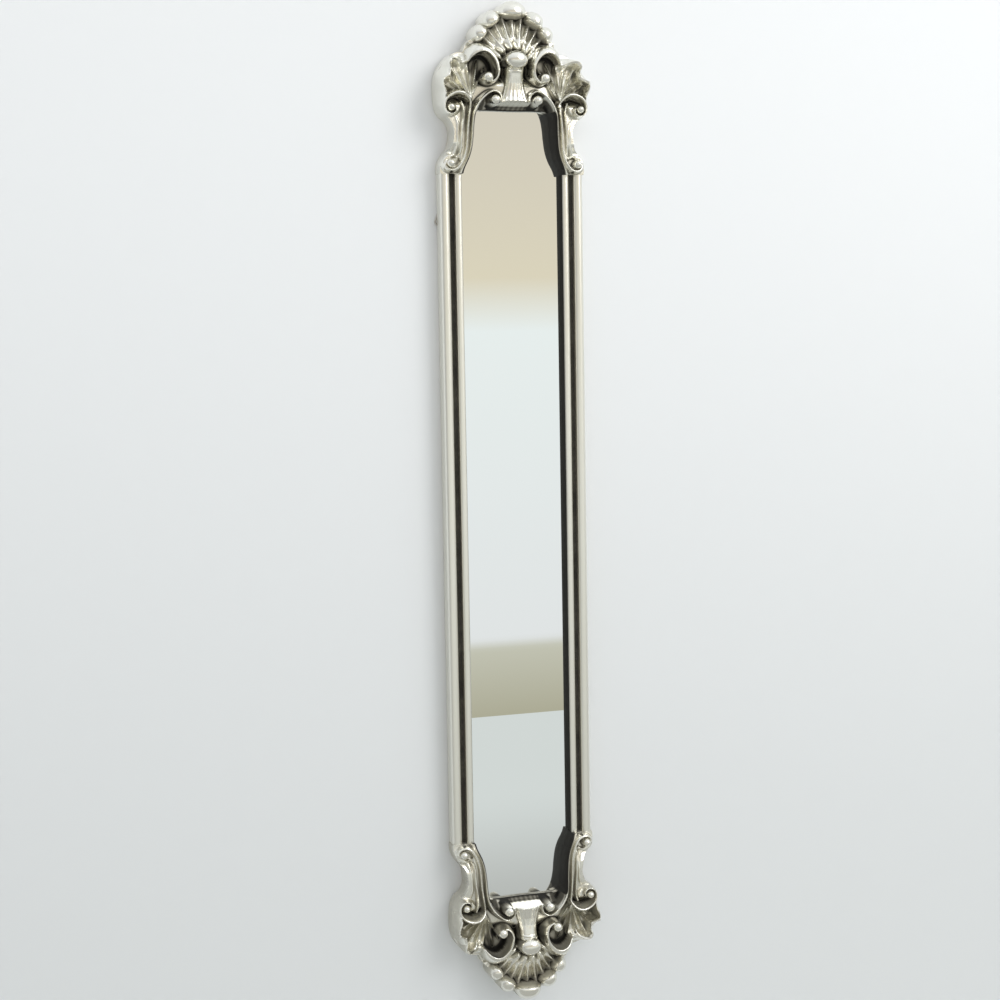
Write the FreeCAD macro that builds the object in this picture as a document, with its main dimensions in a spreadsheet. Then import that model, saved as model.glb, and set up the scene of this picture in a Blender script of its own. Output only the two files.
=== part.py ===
"""Narrow wall mirror with two cast crests, two moulded rails and its back hardware.

Millimetres, +Z up. The wall is the plane y = 0 and the mirror faces -Y. The origin lies
on the wall, behind the middle of the glass. A height given "above the back" is measured
from the back of the frame towards the viewer.
"""

import FreeCAD, Part
import math
import os
import re

from FreeCAD import Matrix, Placement, Rotation, Vector

SIZES = {
    # Frame as a whole
    "rail_length": 800,
    "crest_height": 200,
    "crest_width": 184,
    "frame_width": 178,
    "sight_width": 125,
    "sight_rise": 74.5,
    "bumper_height": 5,
    # Moulding of the rails, heights above the back
    "roll_width": 12,
    "roll_height": 19,
    "bead_width": 8.7,
    "bead_height": 17.5,
    "groove_height": 11,
    # Glass and board
    "glass_thickness": 3,
    "board_thickness": 3,
    "lip_overlap": 3.5,
    "pane_clearance": 0.5,
    # Crest casting, heights above the back
    "block_height": 21,
    "relief_foot": 16,
    "neck_width": 98,
    "neck_start": 33,
    "sight_corner": 9,
    "lobe_radius": 9.5,
    "small_lobe_radius": 8.5,
    "tip_lobe_half_width": 17,
    "lobe_centre": 25.5,
    "shell_rib_radius": 2.6,
    "shell_rib_centre": 20,
    "boss_half_width": 12.4,
    "boss_half_height": 8,
    "boss_top": 45,
    "boss_seat": 20,
    "pedestal_neck": 10.4,
    "pedestal_ring": 11.4,
    "pedestal_foot": 19.5,
    "pedestal_axis": 22,
    "pedestal_set_back": 0.6,
    "scroll_radius": 4.4,
    "scroll_centre": 35.5,
    "scroll_bead_radius": 4.6,
    "scroll_bead_centre": 35.5,
    "volute_ball_radius": 8.2,
    "volute_ball_centre": 35.5,
    "fan_rib_radius": 5.2,
    "fan_rib_centre": 28.5,
    "stem_radius": 3.8,
    "stem_centre": 29,
    "stem_bead_radius": 4.8,
    "stem_bead_centre": 31,
    # Dowels between rails and crests
    "dowel_diameter": 5,
    "dowel_length": 28,
    "dowel_depth": 7,
    "dowel_inset": 5.5,
    "dowel_spacing": 9,
    "glue_clearance": 0.05,
    # Turn buttons on the back
    "button_thickness": 1,
    "button_lift": 0.2,
    "button_hub_radius": 5.5,
    "button_tip_radius": 3.5,
    "button_reach": 19,
    "button_inset": 8,
    "button_spacing": 170,
    "button_hole_clearance": 0.08,
    # Screws of the turn buttons and hangers
    "screw_diameter": 3.4,
    "screw_length": 10,
    "screw_head_radius": 3.2,
    "screw_head_height": 1.4,
    "screw_head_play": 0.2,
    # Hanger straps and rings
    "strap_width": 12,
    "strap_thickness": 1,
    "strap_length": 40,
    "strap_screw_first": 12,
    "strap_screw_second": 34,
    "eye_play": 0.1,
    "ring_wire": 2.4,
    "ring_bore_clearance": 0.08,
    "ring_half_width": 13.2,
    "ring_height": 34,
    "ring_corner_radius": 3.4,
    "ring_apex_radius": 4.5,
    "ring_overhang": 3,
    "hanger_drop": 58,
    # Rubber bumpers
    "bumper_radius": 6,
    "bumper_across": 120,
    "bumper_rise": 112,
    # How far every cutting solid runs past what it cuts
    "cut_overrun": 2,
}

# Half outline of the crest block from the collar to the axis: the end of each arc and a
# point on the way there, as shares of half the crest's width and of its height.
CREST_START_SHARE = (0.967, 0.0)
CREST_OUTLINE_SHARES = [
    ((0.940, 0.085), (0.832, 0.145)),
    ((0.799, 0.230), (0.842, 0.308)),
    ((0.951, 0.362), (0.998, 0.435)),
    ((1.000, 0.510), (0.962, 0.598)),
    ((0.848, 0.670), (0.600, 0.705)),
    ((0.590, 0.730), (0.535, 0.760)),
    ((0.355, 0.865), (0.000, 0.930)),
]

# The opening's rise within the crest, in the same shares.
SIGHT_SHARE = 0.3725

# Places on the right half of the crest, in the same shares.
TIP_LOBE_SHARE = (0.0, 0.9575)
LOBE_SHARES = [(0.292, 0.892), (0.452, 0.812)]
RIB_START_SHARE = 0.3
SHELL_RIB_SHARES = [(0.105, 0.888), (0.285, 0.872), (0.440, 0.800)]
BOSS_SHARE = (0.0, 0.650)
PEDESTAL_RING_SHARE = 0.603
PEDESTAL_NECK_SHARE = 0.560
FAN_ROOT_SHARE = (0.590, 0.425)
FAN_RIB_SHARES = [(0.665, 0.632), (0.790, 0.645), (0.868, 0.600), (0.940, 0.530)]
VOLUTE_BALL_SHARE = (0.868, 0.362)
SCROLL_BEAD_SHARE = (0.395, 0.550)
INNER_BEAD_SHARE = (0.280, 0.414)
LOWER_BEAD_SHARE = (0.815, 0.050)

# Centre lines of the curling ridges: the way they set out, in degrees from +X towards +Z,
# and the places that their arcs pass.
SCROLL_HEADING = 128
SCROLL_SHARES = [
    (0.560, 0.663), (0.441, 0.696), (0.327, 0.673), (0.252, 0.622),
    (0.246, 0.572), (0.312, 0.526), (0.405, 0.524),
]
VOLUTE_HEADING = 50
VOLUTE_SHARES = [
    (0.600, 0.405), (0.690, 0.446), (0.800, 0.459), (0.900, 0.432), (0.942, 0.370), (0.900, 0.322),
]
INNER_STEM_HEADING = 140
INNER_STEM_SHARES = [
    (0.705, 0.030), (0.608, 0.110), (0.587, 0.240), (0.573, 0.340),
    (0.450, 0.430), (0.285, 0.470), (0.200, 0.437), (0.212, 0.395),
]
OUTER_STEM_HEADING = 160
OUTER_STEM_SHARES = [(0.800, 0.075), (0.722, 0.150), (0.700, 0.250), (0.714, 0.350)]

AXIS_OUT = Rotation(Vector(1, 0, 0), 90)
AXIS_IN = Rotation(Vector(1, 0, 0), -90)
AXIS_ACROSS = Rotation(Vector(0, 1, 0), 90)
FRONT = Vector(0, -1, 0)
MIRROR_PLANE_NORMAL = Vector(1, 0, 0)
HALF_TURN = Placement(Vector(), Rotation(Vector(0, 1, 0), 180))

doc = FreeCAD.newDocument("NarrowWallMirror")
sheet = doc.addObject("Spreadsheet::Sheet", "Sizes")
for row, (alias, value) in enumerate(SIZES.items(), start=1):
    sheet.set(f"A{row}", alias)
    sheet.set(f"B{row}", str(value))
    sheet.setAlias(f"B{row}", alias)
doc.recompute()


def size(alias):
    """One driving dimension, read back from the sheet."""
    return float(getattr(sheet, alias))


def formula(text):
    """An expression in which every named size points at the sheet."""
    def point_at_sheet(word):
        return f"Sizes.{word.group()}" if word.group() in SIZES else word.group()
    return re.sub(r"[a-z_]+", point_at_sheet, text)


def bind(item, **expressions):
    """Drive properties of an object from the sheet."""
    for name, text in expressions.items():
        item.setExpression(name, formula(text))
    return item


def place(item, x="0", y="0", z="0", turn=Rotation()):
    """Turn an object and drive its position from the sheet."""
    item.Placement = Placement(Vector(), turn)
    for axis, text in zip("xyz", (x, y, z)):
        item.setExpression(f"Placement.Base.{axis}", formula(text))
    return item


def box(name, length, width, height, **where):
    """A block whose edges run along X, Y and Z."""
    item = doc.addObject("Part::Box", name)
    return place(bind(item, Length=length, Width=width, Height=height), **where)


def cylinder(name, radius, height, **where):
    """A round bar that starts at its place and runs along its turned Z axis."""
    item = doc.addObject("Part::Cylinder", name)
    return place(bind(item, Radius=radius, Height=height), **where)


def group(name, items):
    """Several separate solids that share one node."""
    item = doc.addObject("Part::Compound", name)
    item.Links = items
    return item


def fuse(name, items):
    item = doc.addObject("Part::MultiFuse", name)
    item.Shapes = items
    return item


def cut(name, base, tools):
    """A piece with all its tools taken out of it."""
    item = doc.addObject("Part::Cut", name)
    item.Base = base
    item.Tool = group(f"{name}_cuts", tools)
    return item


def feature(name, shape):
    """A piece whose shape comes from free curves."""
    item = doc.addObject("Part::Feature", name)
    item.Shape = shape
    return item


def mirrored(name, source):
    """The same piece on the other side of the mirror's axis."""
    item = doc.addObject("Part::Mirroring", name)
    item.Source = source
    item.Normal = MIRROR_PLANE_NORMAL
    return item


def origin_plane(body, role):
    return next(plane for plane in body.Origin.OriginFeatures if plane.Role == role)


def sketch_on(body, name, role, edges):
    """A sketch of lines and arcs on one of its body's own origin planes."""
    sketch = body.newObject("Sketcher::SketchObject", name)
    sketch.AttachmentSupport = [(origin_plane(body, role), "")]
    sketch.MapMode = "FlatFace"
    sketch.addGeometry(edges, False)
    return sketch


def polyline(points):
    """Line segments from each point to the next."""
    return [Part.LineSegment(a, b) for a, b in zip(points, points[1:])]


# Rails


def round_section(start, width, height):
    """Section of one round of the rail, from the back up its sides and over its front."""
    back = -size("bumper_height")
    radius = width / 2
    spring = back - height + radius
    far = start + width
    sides = [Vector(far, spring), Vector(far, back), Vector(start, back), Vector(start, spring)]
    front = Part.Arc(sides[-1], Vector(start + radius, spring - radius), sides[0])
    return polyline(sides) + [front]


def rail_round(name, start, width, height):
    """One round along the rail, with upright sides."""
    body = doc.addObject("PartDesign::Body", name)
    section = sketch_on(body, f"{name}_section", "XY_Plane", round_section(start, width, height))
    pad = body.newObject("PartDesign::Pad", f"{name}_run")
    pad.Profile = section
    pad.SideType = "Symmetric"
    bind(pad, Length="rail_length")
    return body


def rail_moulding():
    """The right rail's moulding: the bead at the glass, the groove and the roll outside."""
    floor = box("rail_floor", "(frame_width - sight_width) / 2", "groove_height", "rail_length",
                x="sight_width / 2", y=f"{BACK} - groove_height", z="0 - rail_length / 2")
    lip = size("sight_width") / 2
    bead = rail_round("rail_bead", lip, size("bead_width"), size("bead_height"))
    roll_start = size("frame_width") / 2 - size("roll_width")
    roll = rail_round("rail_roll", roll_start, size("roll_width"), size("roll_height"))
    return fuse("rail_moulding", [floor, bead, roll])


# Dowels in the four joints between a rail and a crest

DOWEL_X = [
    "sight_width / 2 + lip_overlap + pane_clearance + dowel_inset",
    "sight_width / 2 + lip_overlap + pane_clearance + dowel_inset + dowel_spacing",
]


def dowel_bars(name, clearance, end, sides):
    """Bars across one end's joints, as dowels or, with clearance, as their holes."""
    bars = []
    for side in sides:
        for x in DOWEL_X:
            bars.append(cylinder(
                f"{name}_{len(bars)}",
                f"dowel_diameter / 2 + {clearance}",
                "dowel_length",
                x=f"{side} * ({x})",
                y="0 - bumper_height - dowel_depth",
                z=f"{end} * rail_length / 2 - dowel_length / 2",
            ))
    return bars


# Screws, given by the place where their heads bear

SCREW_HOLE = "screw_diameter / 2 + glue_clearance"
BACK = "0 - bumper_height"
BUTTON_X = "(sight_width / 2 + lip_overlap + pane_clearance + button_inset)"
BUTTON_Z = "(rail_length / 2 + sight_rise + lip_overlap + pane_clearance + button_inset)"
BUTTON_SEAT = "button_lift + button_thickness + screw_head_play"


def pan_screw(name, x, z, seat):
    """A pan-head screw driven into the back, its head bearing a seat's height behind it."""
    shank = cylinder(f"{name}_shank", "screw_diameter / 2", f"screw_length + {seat}",
                     x=x, y=f"{BACK} + {seat}", z=z, turn=AXIS_OUT)
    head = cylinder(f"{name}_head", "screw_head_radius", "screw_head_height",
                    x=x, y=f"{BACK} + {seat}", z=z, turn=AXIS_IN)
    return fuse(name, [shank, head])


def pilot(name, x, z):
    """The hole for a screw's shank in the back of the frame."""
    return cylinder(name, SCREW_HOLE, "screw_length + glue_clearance + cut_overrun",
                    x=x, y=f"{BACK} + cut_overrun", z=z, turn=AXIS_OUT)


# Turn buttons: name, side or end, place and the way the blade points at rest

BUTTON_STEP = "(rail_length / 2 - button_spacing)"
BUTTONS = [
    (f"turn_button_{side}_{level}", f"{sign} * {BUTTON_X}", f"{step} * {BUTTON_STEP}", 90 * (1 - sign))
    for side, sign in (("left", -1), ("right", 1))
    for level, step in (("upper", 1), ("middle", 0), ("lower", -1))
] + [
    ("turn_button_top", "0", BUTTON_Z, -90),
    ("turn_button_bottom", "0", f"0 - {BUTTON_Z}", 90),
]


def button_outline():
    """Blade outline in its own plane, hub at the origin and tip towards -X."""
    hub = size("button_hub_radius")
    tip = size("button_tip_radius")
    reach = size("button_reach")
    lean = (hub - tip) / reach
    rise = math.sqrt(1 - lean ** 2)
    hub_top = Vector(-hub * lean, hub * rise)
    tip_top = Vector(-reach - tip * lean, tip * rise)
    hub_low = Vector(hub_top.x, -hub_top.y)
    tip_low = Vector(tip_top.x, -tip_top.y)
    hole = size("screw_diameter") / 2 + size("button_hole_clearance")
    return [
        Part.LineSegment(hub_top, tip_top),
        Part.Arc(tip_top, Vector(-reach - tip, 0), tip_low),
        Part.LineSegment(tip_low, hub_low),
        Part.Arc(hub_low, Vector(hub, 0), hub_top),
        Part.Circle(Vector(), Vector(0, 0, 1), hole),
    ]


def turn_button(name, x, z, pointing):
    """A flat stamped blade that swivels on its screw behind the frame."""
    body = doc.addObject("PartDesign::Body", name)
    outline = sketch_on(body, f"{name}_outline", "XZ_Plane", button_outline())
    pad = body.newObject("PartDesign::Pad", f"{name}_blade")
    pad.Profile = outline
    bind(pad, Length="button_thickness")
    turn = Rotation(Vector(0, 1, 0), pointing)
    return place(body, x=x, y=f"{BACK} + button_lift + button_thickness", z=z, turn=turn)


# Hangers

RING_REACH = "ring_corner_radius / tan(atan(ring_height / ring_half_width) / 2)"
RING_EDGE = f"(ring_half_width - {RING_REACH} + ring_corner_radius + ring_wire / 2)"
HANGER_X = f"(frame_width / 2 + ring_overhang - {RING_EDGE})"
HANGER_Z = "(rail_length / 2 - hanger_drop)"
EYE_RADIUS = "(ring_wire / 2 + ring_bore_clearance + strap_thickness)"
EYE_Y = f"({BACK} + {EYE_RADIUS} + eye_play)"
STRAP_SCREWS = ["strap_screw_first", "strap_screw_second"]


def rounded_triangle():
    """Centre line of the ring: its bar, two corners, two legs and its apex, bar at the origin."""
    half = size("ring_half_width")
    height = size("ring_height")
    corner = math.atan2(height, half)
    slope = Vector(-math.cos(corner), 0, math.sin(corner))
    across = Vector(math.sin(corner), 0, math.cos(corner))
    reach = size("ring_corner_radius") / math.tan(corner / 2)
    corner_centre = Vector(half - reach, 0, size("ring_corner_radius"))
    bar_end = Vector(half - reach, 0, 0)
    leg_start = Vector(half, 0, 0) + slope * reach
    corner_mid = corner_centre + (across + Vector(0, 0, -1)).normalize() * size("ring_corner_radius")
    apex_centre = Vector(0, 0, height - size("ring_apex_radius") / math.cos(corner))
    leg_end = apex_centre + across * size("ring_apex_radius")
    apex_top = apex_centre + Vector(0, 0, size("ring_apex_radius"))

    def other(point):
        return Vector(-point.x, point.y, point.z)

    curves = [
        Part.LineSegment(Vector(), bar_end),
        Part.Arc(bar_end, corner_mid, leg_start),
        Part.LineSegment(leg_start, leg_end),
        Part.Arc(leg_end, apex_top, other(leg_end)),
        Part.LineSegment(other(leg_end), other(leg_start)),
        Part.Arc(other(leg_start), other(corner_mid), other(bar_end)),
        Part.LineSegment(other(bar_end), Vector()),
    ]
    return Part.Wire([curve.toShape() for curve in curves])


def hanger_ring(name, side):
    """A triangular wire ring that stands up from its bar in the strap's eye."""
    section = Part.Wire(Part.makeCircle(size("ring_wire") / 2, Vector(), Vector(1, 0, 0)))
    ring = feature(name, rounded_triangle().makePipeShell([section], True, False))
    return place(ring, x=f"{side} * {HANGER_X}", y=EYE_Y, z=HANGER_Z)


def hanger_strap(name, side):
    """A folded plate on the rail's back, rolled into an eye round the ring's bar."""
    middle = f"{side} * {HANGER_X}"
    plate = box(f"{name}_plate", "strap_width", "strap_thickness", "strap_length",
                x=f"{middle} - strap_width / 2", y=BACK, z=f"{HANGER_Z} - strap_length")
    eye = cylinder(f"{name}_eye", EYE_RADIUS, "strap_width",
                   x=f"{middle} - strap_width / 2", y=EYE_Y, z=HANGER_Z, turn=AXIS_ACROSS)
    bore = cylinder(f"{name}_bore", "ring_wire / 2 + ring_bore_clearance", "strap_width + 2 * cut_overrun",
                    x=f"{middle} - strap_width / 2 - cut_overrun", y=EYE_Y, z=HANGER_Z, turn=AXIS_ACROSS)
    holes = [
        cylinder(f"{name}_{drop}", SCREW_HOLE, "strap_thickness + 2 * cut_overrun",
                 x=middle, y=f"{BACK} - cut_overrun", z=f"{HANGER_Z} - {drop}", turn=AXIS_IN)
        for drop in STRAP_SCREWS
    ]
    return cut(name, fuse(f"{name}_blank", [plate, eye]), [bore] + holes)


# Crest casting


def crest_rise(share):
    """Rise over the collar: the neck follows the opening, the ornament what stands above it."""
    opening = size("sight_rise")
    if share < SIGHT_SHARE:
        return opening * share / SIGHT_SHARE
    return opening + (size("crest_height") - opening) * (share - SIGHT_SHARE) / (1 - SIGHT_SHARE)


def crest_point(share, height=0):
    """A place on the crest, given as shares of its half width and height, above the back."""
    return Vector(
        share[0] * size("crest_width") / 2,
        -size("bumper_height") - height,
        size("rail_length") / 2 + crest_rise(share[1]),
    )


def other_side(shape):
    return shape.mirror(Vector(), MIRROR_PLANE_NORMAL)


def block_edges():
    """Closed outline of the crest block: the ornament's outside and the opening's edge."""
    right = []
    start = crest_point(CREST_START_SHARE)
    for way, end in CREST_OUTLINE_SHARES:
        right.append(Part.Arc(start, crest_point(way), crest_point(end)).toShape())
        start = crest_point(end)
    collar = size("rail_length") / 2
    lip = size("sight_width") / 2
    neck = size("neck_width") / 2
    corner = size("sight_corner")
    top = collar + size("sight_rise")
    back = -size("bumper_height")
    swing = Vector((lip + neck) / 2, back, collar + size("neck_start") / 2)
    foot = Vector(lip, back, collar)
    throat = Vector(neck, back, collar + size("neck_start"))
    bend = Vector(neck, back, top - corner)
    over = Vector(neck - corner, back, top)
    curve = Part.BezierCurve()
    curve.setPoles([foot, Vector(lip, back, swing.z), Vector(neck, back, swing.z), throat])
    elbow = corner * (1 - math.sqrt(0.5))
    right += [
        Part.makeLine(crest_point(CREST_START_SHARE), foot),
        curve.toShape(),
        Part.makeLine(throat, bend),
        Part.Arc(bend, Vector(neck - elbow, back, top - elbow), over).toShape(),
        Part.makeLine(over, Vector(0, back, top)),
    ]
    return right + [other_side(edge) for edge in right]


def block():
    """The plain body of the casting, without its relief."""
    wire = Part.Wire(Part.__sortEdges__(block_edges()))
    return Part.Face(wire).extrude(FRONT * size("block_height"))


def dome(share, radius, centre):
    """A round pillar from the back with a ball for its front."""
    base = crest_point(share)
    side = Vector(radius, 0, 0)
    front = base + FRONT * centre
    slant = radius * math.sqrt(0.5)
    profile = Part.Wire([
        Part.makeLine(base, base + side),
        Part.makeLine(base + side, front + side),
        Part.Arc(front + side, front + Vector(slant, -slant, 0), front + FRONT * radius).toShape(),
        Part.makeLine(front + FRONT * radius, base),
    ])
    return Part.Face(profile).revolve(base, FRONT, 360)


def tip_lobe():
    """The wide lobe on the axis, a dome stretched across the crest."""
    radius = size("small_lobe_radius")
    stretch = Matrix()
    stretch.scale(size("tip_lobe_half_width") / radius, 1, 1)
    return dome(TIP_LOBE_SHARE, radius, size("lobe_centre")).transformGeometry(stretch)


def ridge_wire(shares, heading, height):
    """Tangent arcs through places on the crest, setting out in the given heading."""
    way = Vector(math.cos(math.radians(heading)), 0, math.sin(math.radians(heading)))
    points = [crest_point(share, height) for share in shares]
    edges = []
    for start, end in zip(points, points[1:]):
        chord = end - start
        side = Vector(-way.z, 0, way.x)
        offset = 2 * side.dot(chord)
        centre = start + side * (chord.dot(chord) / offset)
        middle = (start + end) * 0.5 - centre
        radius = (start - centre).Length
        toward = middle.normalize() * radius
        if (centre + toward - start).dot(way) < 0:
            toward = -toward
        edges.append(Part.Arc(start, centre + toward, end).toShape())
        way = edges[-1].tangentAt(edges[-1].LastParameter)
    return Part.Wire(edges)


def ridge(shares, heading, radius, centre):
    """A curling rib with upright sides and a round crest, standing in the block."""
    wire = ridge_wire(shares, heading, centre)
    start = wire.OrderedVertexes[0].Point
    way = Vector(math.cos(math.radians(heading)), 0, math.sin(math.radians(heading)))
    side = Vector(-way.z, 0, way.x) * radius
    foot = FRONT * (size("relief_foot") - centre)
    section = Part.Wire([
        Part.makeLine(start - side, start - side + foot),
        Part.makeLine(start - side + foot, start + side + foot),
        Part.makeLine(start + side + foot, start + side),
        Part.Arc(start + side, start + FRONT * radius, start - side).toShape(),
    ])
    pipe = Part.BRepOffsetAPI.MakePipeShell(wire)
    pipe.setBiNormalMode(Vector(0, 1, 0))
    pipe.add(section)
    pipe.build()
    pipe.makeSolid()
    return pipe.shape()


def straight_rib(root_share, end_share, radius, centre):
    """A straight rib that points away from its root, with a round crest and a ball at its end."""
    root = crest_point(root_share, centre)
    end = crest_point(end_share, centre)
    start = root + (end - root) * RIB_START_SHARE
    rib = Part.makeCylinder(radius, (end - start).Length, start, end - start)
    return rib.fuse(Part.makeSphere(radius, end))


def raised(form):
    """What lies in front of the relief's foot."""
    over = size("cut_overrun")
    bounds = form.BoundBox
    foot = crest_point((0, 0), size("relief_foot")).y
    corner = Vector(bounds.XMin - over, foot, bounds.ZMin - over)
    across = bounds.XLength + 2 * over
    deep = bounds.YMax - foot + over
    rise = bounds.ZLength + 2 * over
    return form.cut(Part.makeBox(across, deep, rise, corner))


def boss():
    """The oval boss over the pedestal."""
    seat = size("boss_seat")
    ball = Part.makeSphere(1)
    grow = Matrix()
    grow.scale(size("boss_half_width"), size("boss_top") - seat, size("boss_half_height"))
    oval = ball.transformGeometry(grow)
    oval.translate(crest_point(BOSS_SHARE, seat))
    return raised(oval)


def pedestal():
    """The waisted pedestal, half of a turned vase, down to the edge of the opening."""
    axis = crest_point((0, 0), size("pedestal_axis"))
    foot = Vector(size("pedestal_foot"), 0, size("sight_rise") + size("pedestal_set_back"))
    neck = Vector(size("pedestal_neck"), 0, crest_rise(PEDESTAL_NECK_SHARE))
    ring = Vector(size("pedestal_ring"), 0, crest_rise(PEDESTAL_RING_SHARE))
    waist = Part.BezierCurve()
    waist.setPoles([foot, Vector(neck.x, 0, foot.z), Vector(neck.x, 0, (foot.z + neck.z) / 2), neck])
    top = Vector(0, 0, ring.z)
    low = Vector(0, 0, foot.z)
    side = Part.Wire([
        Part.makeLine(low, foot),
        waist.toShape(),
        Part.makeLine(neck, ring),
        Part.makeLine(ring, top),
        Part.makeLine(top, low),
    ])
    vase = Part.Face(side).revolve(Vector(), Vector(0, 0, 1), 360)
    vase.translate(axis)
    return raised(vase)


def right_relief():
    """Every raised form of the crest's right half."""
    lobes = [
        dome(LOBE_SHARES[0], size("lobe_radius"), size("lobe_centre")),
        dome(LOBE_SHARES[1], size("small_lobe_radius"), size("lobe_centre")),
    ]
    shell = [
        straight_rib(BOSS_SHARE, share, size("shell_rib_radius"), size("shell_rib_centre"))
        for share in SHELL_RIB_SHARES
    ]
    fan = [
        straight_rib(FAN_ROOT_SHARE, share, size("fan_rib_radius"), size("fan_rib_centre"))
        for share in FAN_RIB_SHARES
    ]
    balls = [
        dome(SCROLL_BEAD_SHARE, size("scroll_bead_radius"), size("scroll_bead_centre")),
        dome(VOLUTE_BALL_SHARE, size("volute_ball_radius"), size("volute_ball_centre")),
        dome(INNER_BEAD_SHARE, size("stem_bead_radius"), size("stem_bead_centre")),
        dome(LOWER_BEAD_SHARE, size("stem_bead_radius"), size("stem_bead_centre")),
    ]
    ridges = [
        ridge(SCROLL_SHARES, SCROLL_HEADING, size("scroll_radius"), size("scroll_centre")),
        ridge(VOLUTE_SHARES, VOLUTE_HEADING, size("scroll_radius"), size("scroll_centre")),
        ridge(INNER_STEM_SHARES, INNER_STEM_HEADING, size("stem_radius"), size("stem_centre")),
        ridge(OUTER_STEM_SHARES, OUTER_STEM_HEADING, size("stem_radius"), size("stem_centre")),
    ]
    return lobes + shell + fan + balls + ridges


def crest_casting():
    """The block and all its relief as one casting."""
    casting = block().fuse(tip_lobe())
    for form in right_relief():
        casting = casting.multiFuse([form, other_side(form)])
    return feature("crest_casting", casting.fuse(boss()).fuse(pedestal()))


# The assembly

REBATE_X = "(sight_width / 2 + lip_overlap + pane_clearance)"
REBATE_Z = "(sight_rise + lip_overlap + pane_clearance)"
PANE_WIDTH = "(sight_width + 2 * lip_overlap)"
PANE_HEIGHT = "(rail_length + 2 * (sight_rise + lip_overlap))"


def rails():
    """Both rails, with the rebate for the glass and the holes for their dowels and screws."""
    rebate = box("rail_rebate", "lip_overlap + pane_clearance + cut_overrun",
                 "board_thickness + glass_thickness + cut_overrun", "rail_length + 2 * cut_overrun",
                 x="sight_width / 2 - cut_overrun", y=f"{BACK} - board_thickness - glass_thickness",
                 z="0 - rail_length / 2 - cut_overrun")
    holes = [rebate]
    for end in (1, -1):
        holes += dowel_bars(f"rail_hole_{end + 1}", "glue_clearance", end, (1,))
    for name, x, z, _ in BUTTONS:
        if "right" in name:
            holes.append(pilot(f"{name}_pilot", x, z))
    for drop in STRAP_SCREWS:
        holes.append(pilot(f"{drop}_pilot", HANGER_X, f"{HANGER_Z} - {drop}"))
    right = cut("right_rail", rail_moulding(), holes)
    return [right, mirrored("left_rail", right)]


def top_crest():
    """The casting with its rebate for the glass and the holes for dowels and screw."""
    rebate = box("crest_rebate", f"2 * {REBATE_X}", "board_thickness + glass_thickness + cut_overrun",
                 f"{REBATE_Z} + cut_overrun", x=f"0 - {REBATE_X}",
                 y=f"{BACK} - board_thickness - glass_thickness", z="rail_length / 2 - cut_overrun")
    holes = dowel_bars("crest_hole", "glue_clearance", 1, (1, -1))
    holes.append(pilot("crest_pilot", "0", BUTTON_Z))
    return cut("top_crest", crest_casting(), [rebate] + holes)


def panes():
    """The glass behind the lips and the board behind the glass."""
    where = {"x": f"0 - {PANE_WIDTH} / 2", "z": f"0 - {PANE_HEIGHT} / 2"}
    return [
        box("mirror_glass", PANE_WIDTH, "glass_thickness", PANE_HEIGHT,
            y=f"{BACK} - board_thickness - glass_thickness", **where),
        box("backing_board", PANE_WIDTH, "board_thickness", PANE_HEIGHT,
            y=f"{BACK} - board_thickness", **where),
    ]


def hangers():
    """Straps, rings and their screws on both rails."""
    pieces = []
    screws = []
    for name, side in (("left", -1), ("right", 1)):
        pieces.append(hanger_strap(f"{name}_hanger_strap", side))
        pieces.append(hanger_ring(f"{name}_hanger_ring", side))
        for drop in STRAP_SCREWS:
            screws.append(pan_screw(f"{name}_{drop}", f"{side} * {HANGER_X}",
                                    f"{HANGER_Z} - {drop}", "strap_thickness"))
    return pieces + [group("hanger_screws", screws)]


def buttons():
    """The turn buttons and the screws that they turn on."""
    blades = [turn_button(*button) for button in BUTTONS]
    screws = [pan_screw(f"{name}_screw", x, z, f"({BUTTON_SEAT})") for name, x, z, _ in BUTTONS]
    return blades + [group("turn_button_screws", screws)]


def bumpers():
    """Rubber pads behind the four fans."""
    pads = [
        cylinder(f"bumper_{side + 1}_{end + 1}", "bumper_radius", "bumper_height",
                 x=f"{side} * bumper_across / 2", y=BACK,
                 z=f"{end} * (rail_length / 2 + bumper_rise)", turn=AXIS_IN)
        for side in (-1, 1) for end in (-1, 1)
    ]
    return group("wall_bumpers", pads)


def dowels():
    """Steel dowels across all four joints."""
    bars = []
    for end in (1, -1):
        bars += dowel_bars(f"dowel_{end + 1}", "0", end, (1, -1))
    return group("frame_dowels", bars)


def checked():
    """Stop at any object that failed to compute."""
    doc.recompute()
    for item in doc.Objects:
        if "Invalid" in item.State or "Error" in item.State:
            raise RuntimeError(f"{item.Label} failed to compute")


def assembly():
    """Every piece of the mirror, in the order of assembly."""
    top = top_crest()
    pieces = rails() + panes() + hangers() + buttons() + [bumpers(), dowels()]
    checked()
    bottom = feature("bottom_crest", top.Shape.copy())
    bottom.Placement = HALF_TURN
    checked()
    return [top, bottom] + pieces


def export(pieces):
    """Write one file for each piece."""
    for piece in pieces:
        if piece.Shape.isNull() or not piece.Shape.isValid():
            raise RuntimeError(f"{piece.Label} has no valid shape")
    os.makedirs("parts", exist_ok=True)
    for piece in pieces:
        piece.Shape.exportStep(f"parts/{piece.Label}.step")


export(assembly())
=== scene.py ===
"""Looks of a narrow silver wall mirror, laid out as a Blender add-on.

Lengths are metres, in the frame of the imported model: +Z up, the wall at y = 0, the glass
facing -Y. Single pieces are drawn in millimetres. The relief of the crests is drawn on half
of one crest: u runs from the axis outwards, w from the end of the rails towards the tip, and
heights are measured from the back of the casting.
"""

import math

import bmesh
import bpy
import numpy as np
from bpy.props import FloatProperty, FloatVectorProperty, PointerProperty
from mathutils import Matrix, Vector


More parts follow.
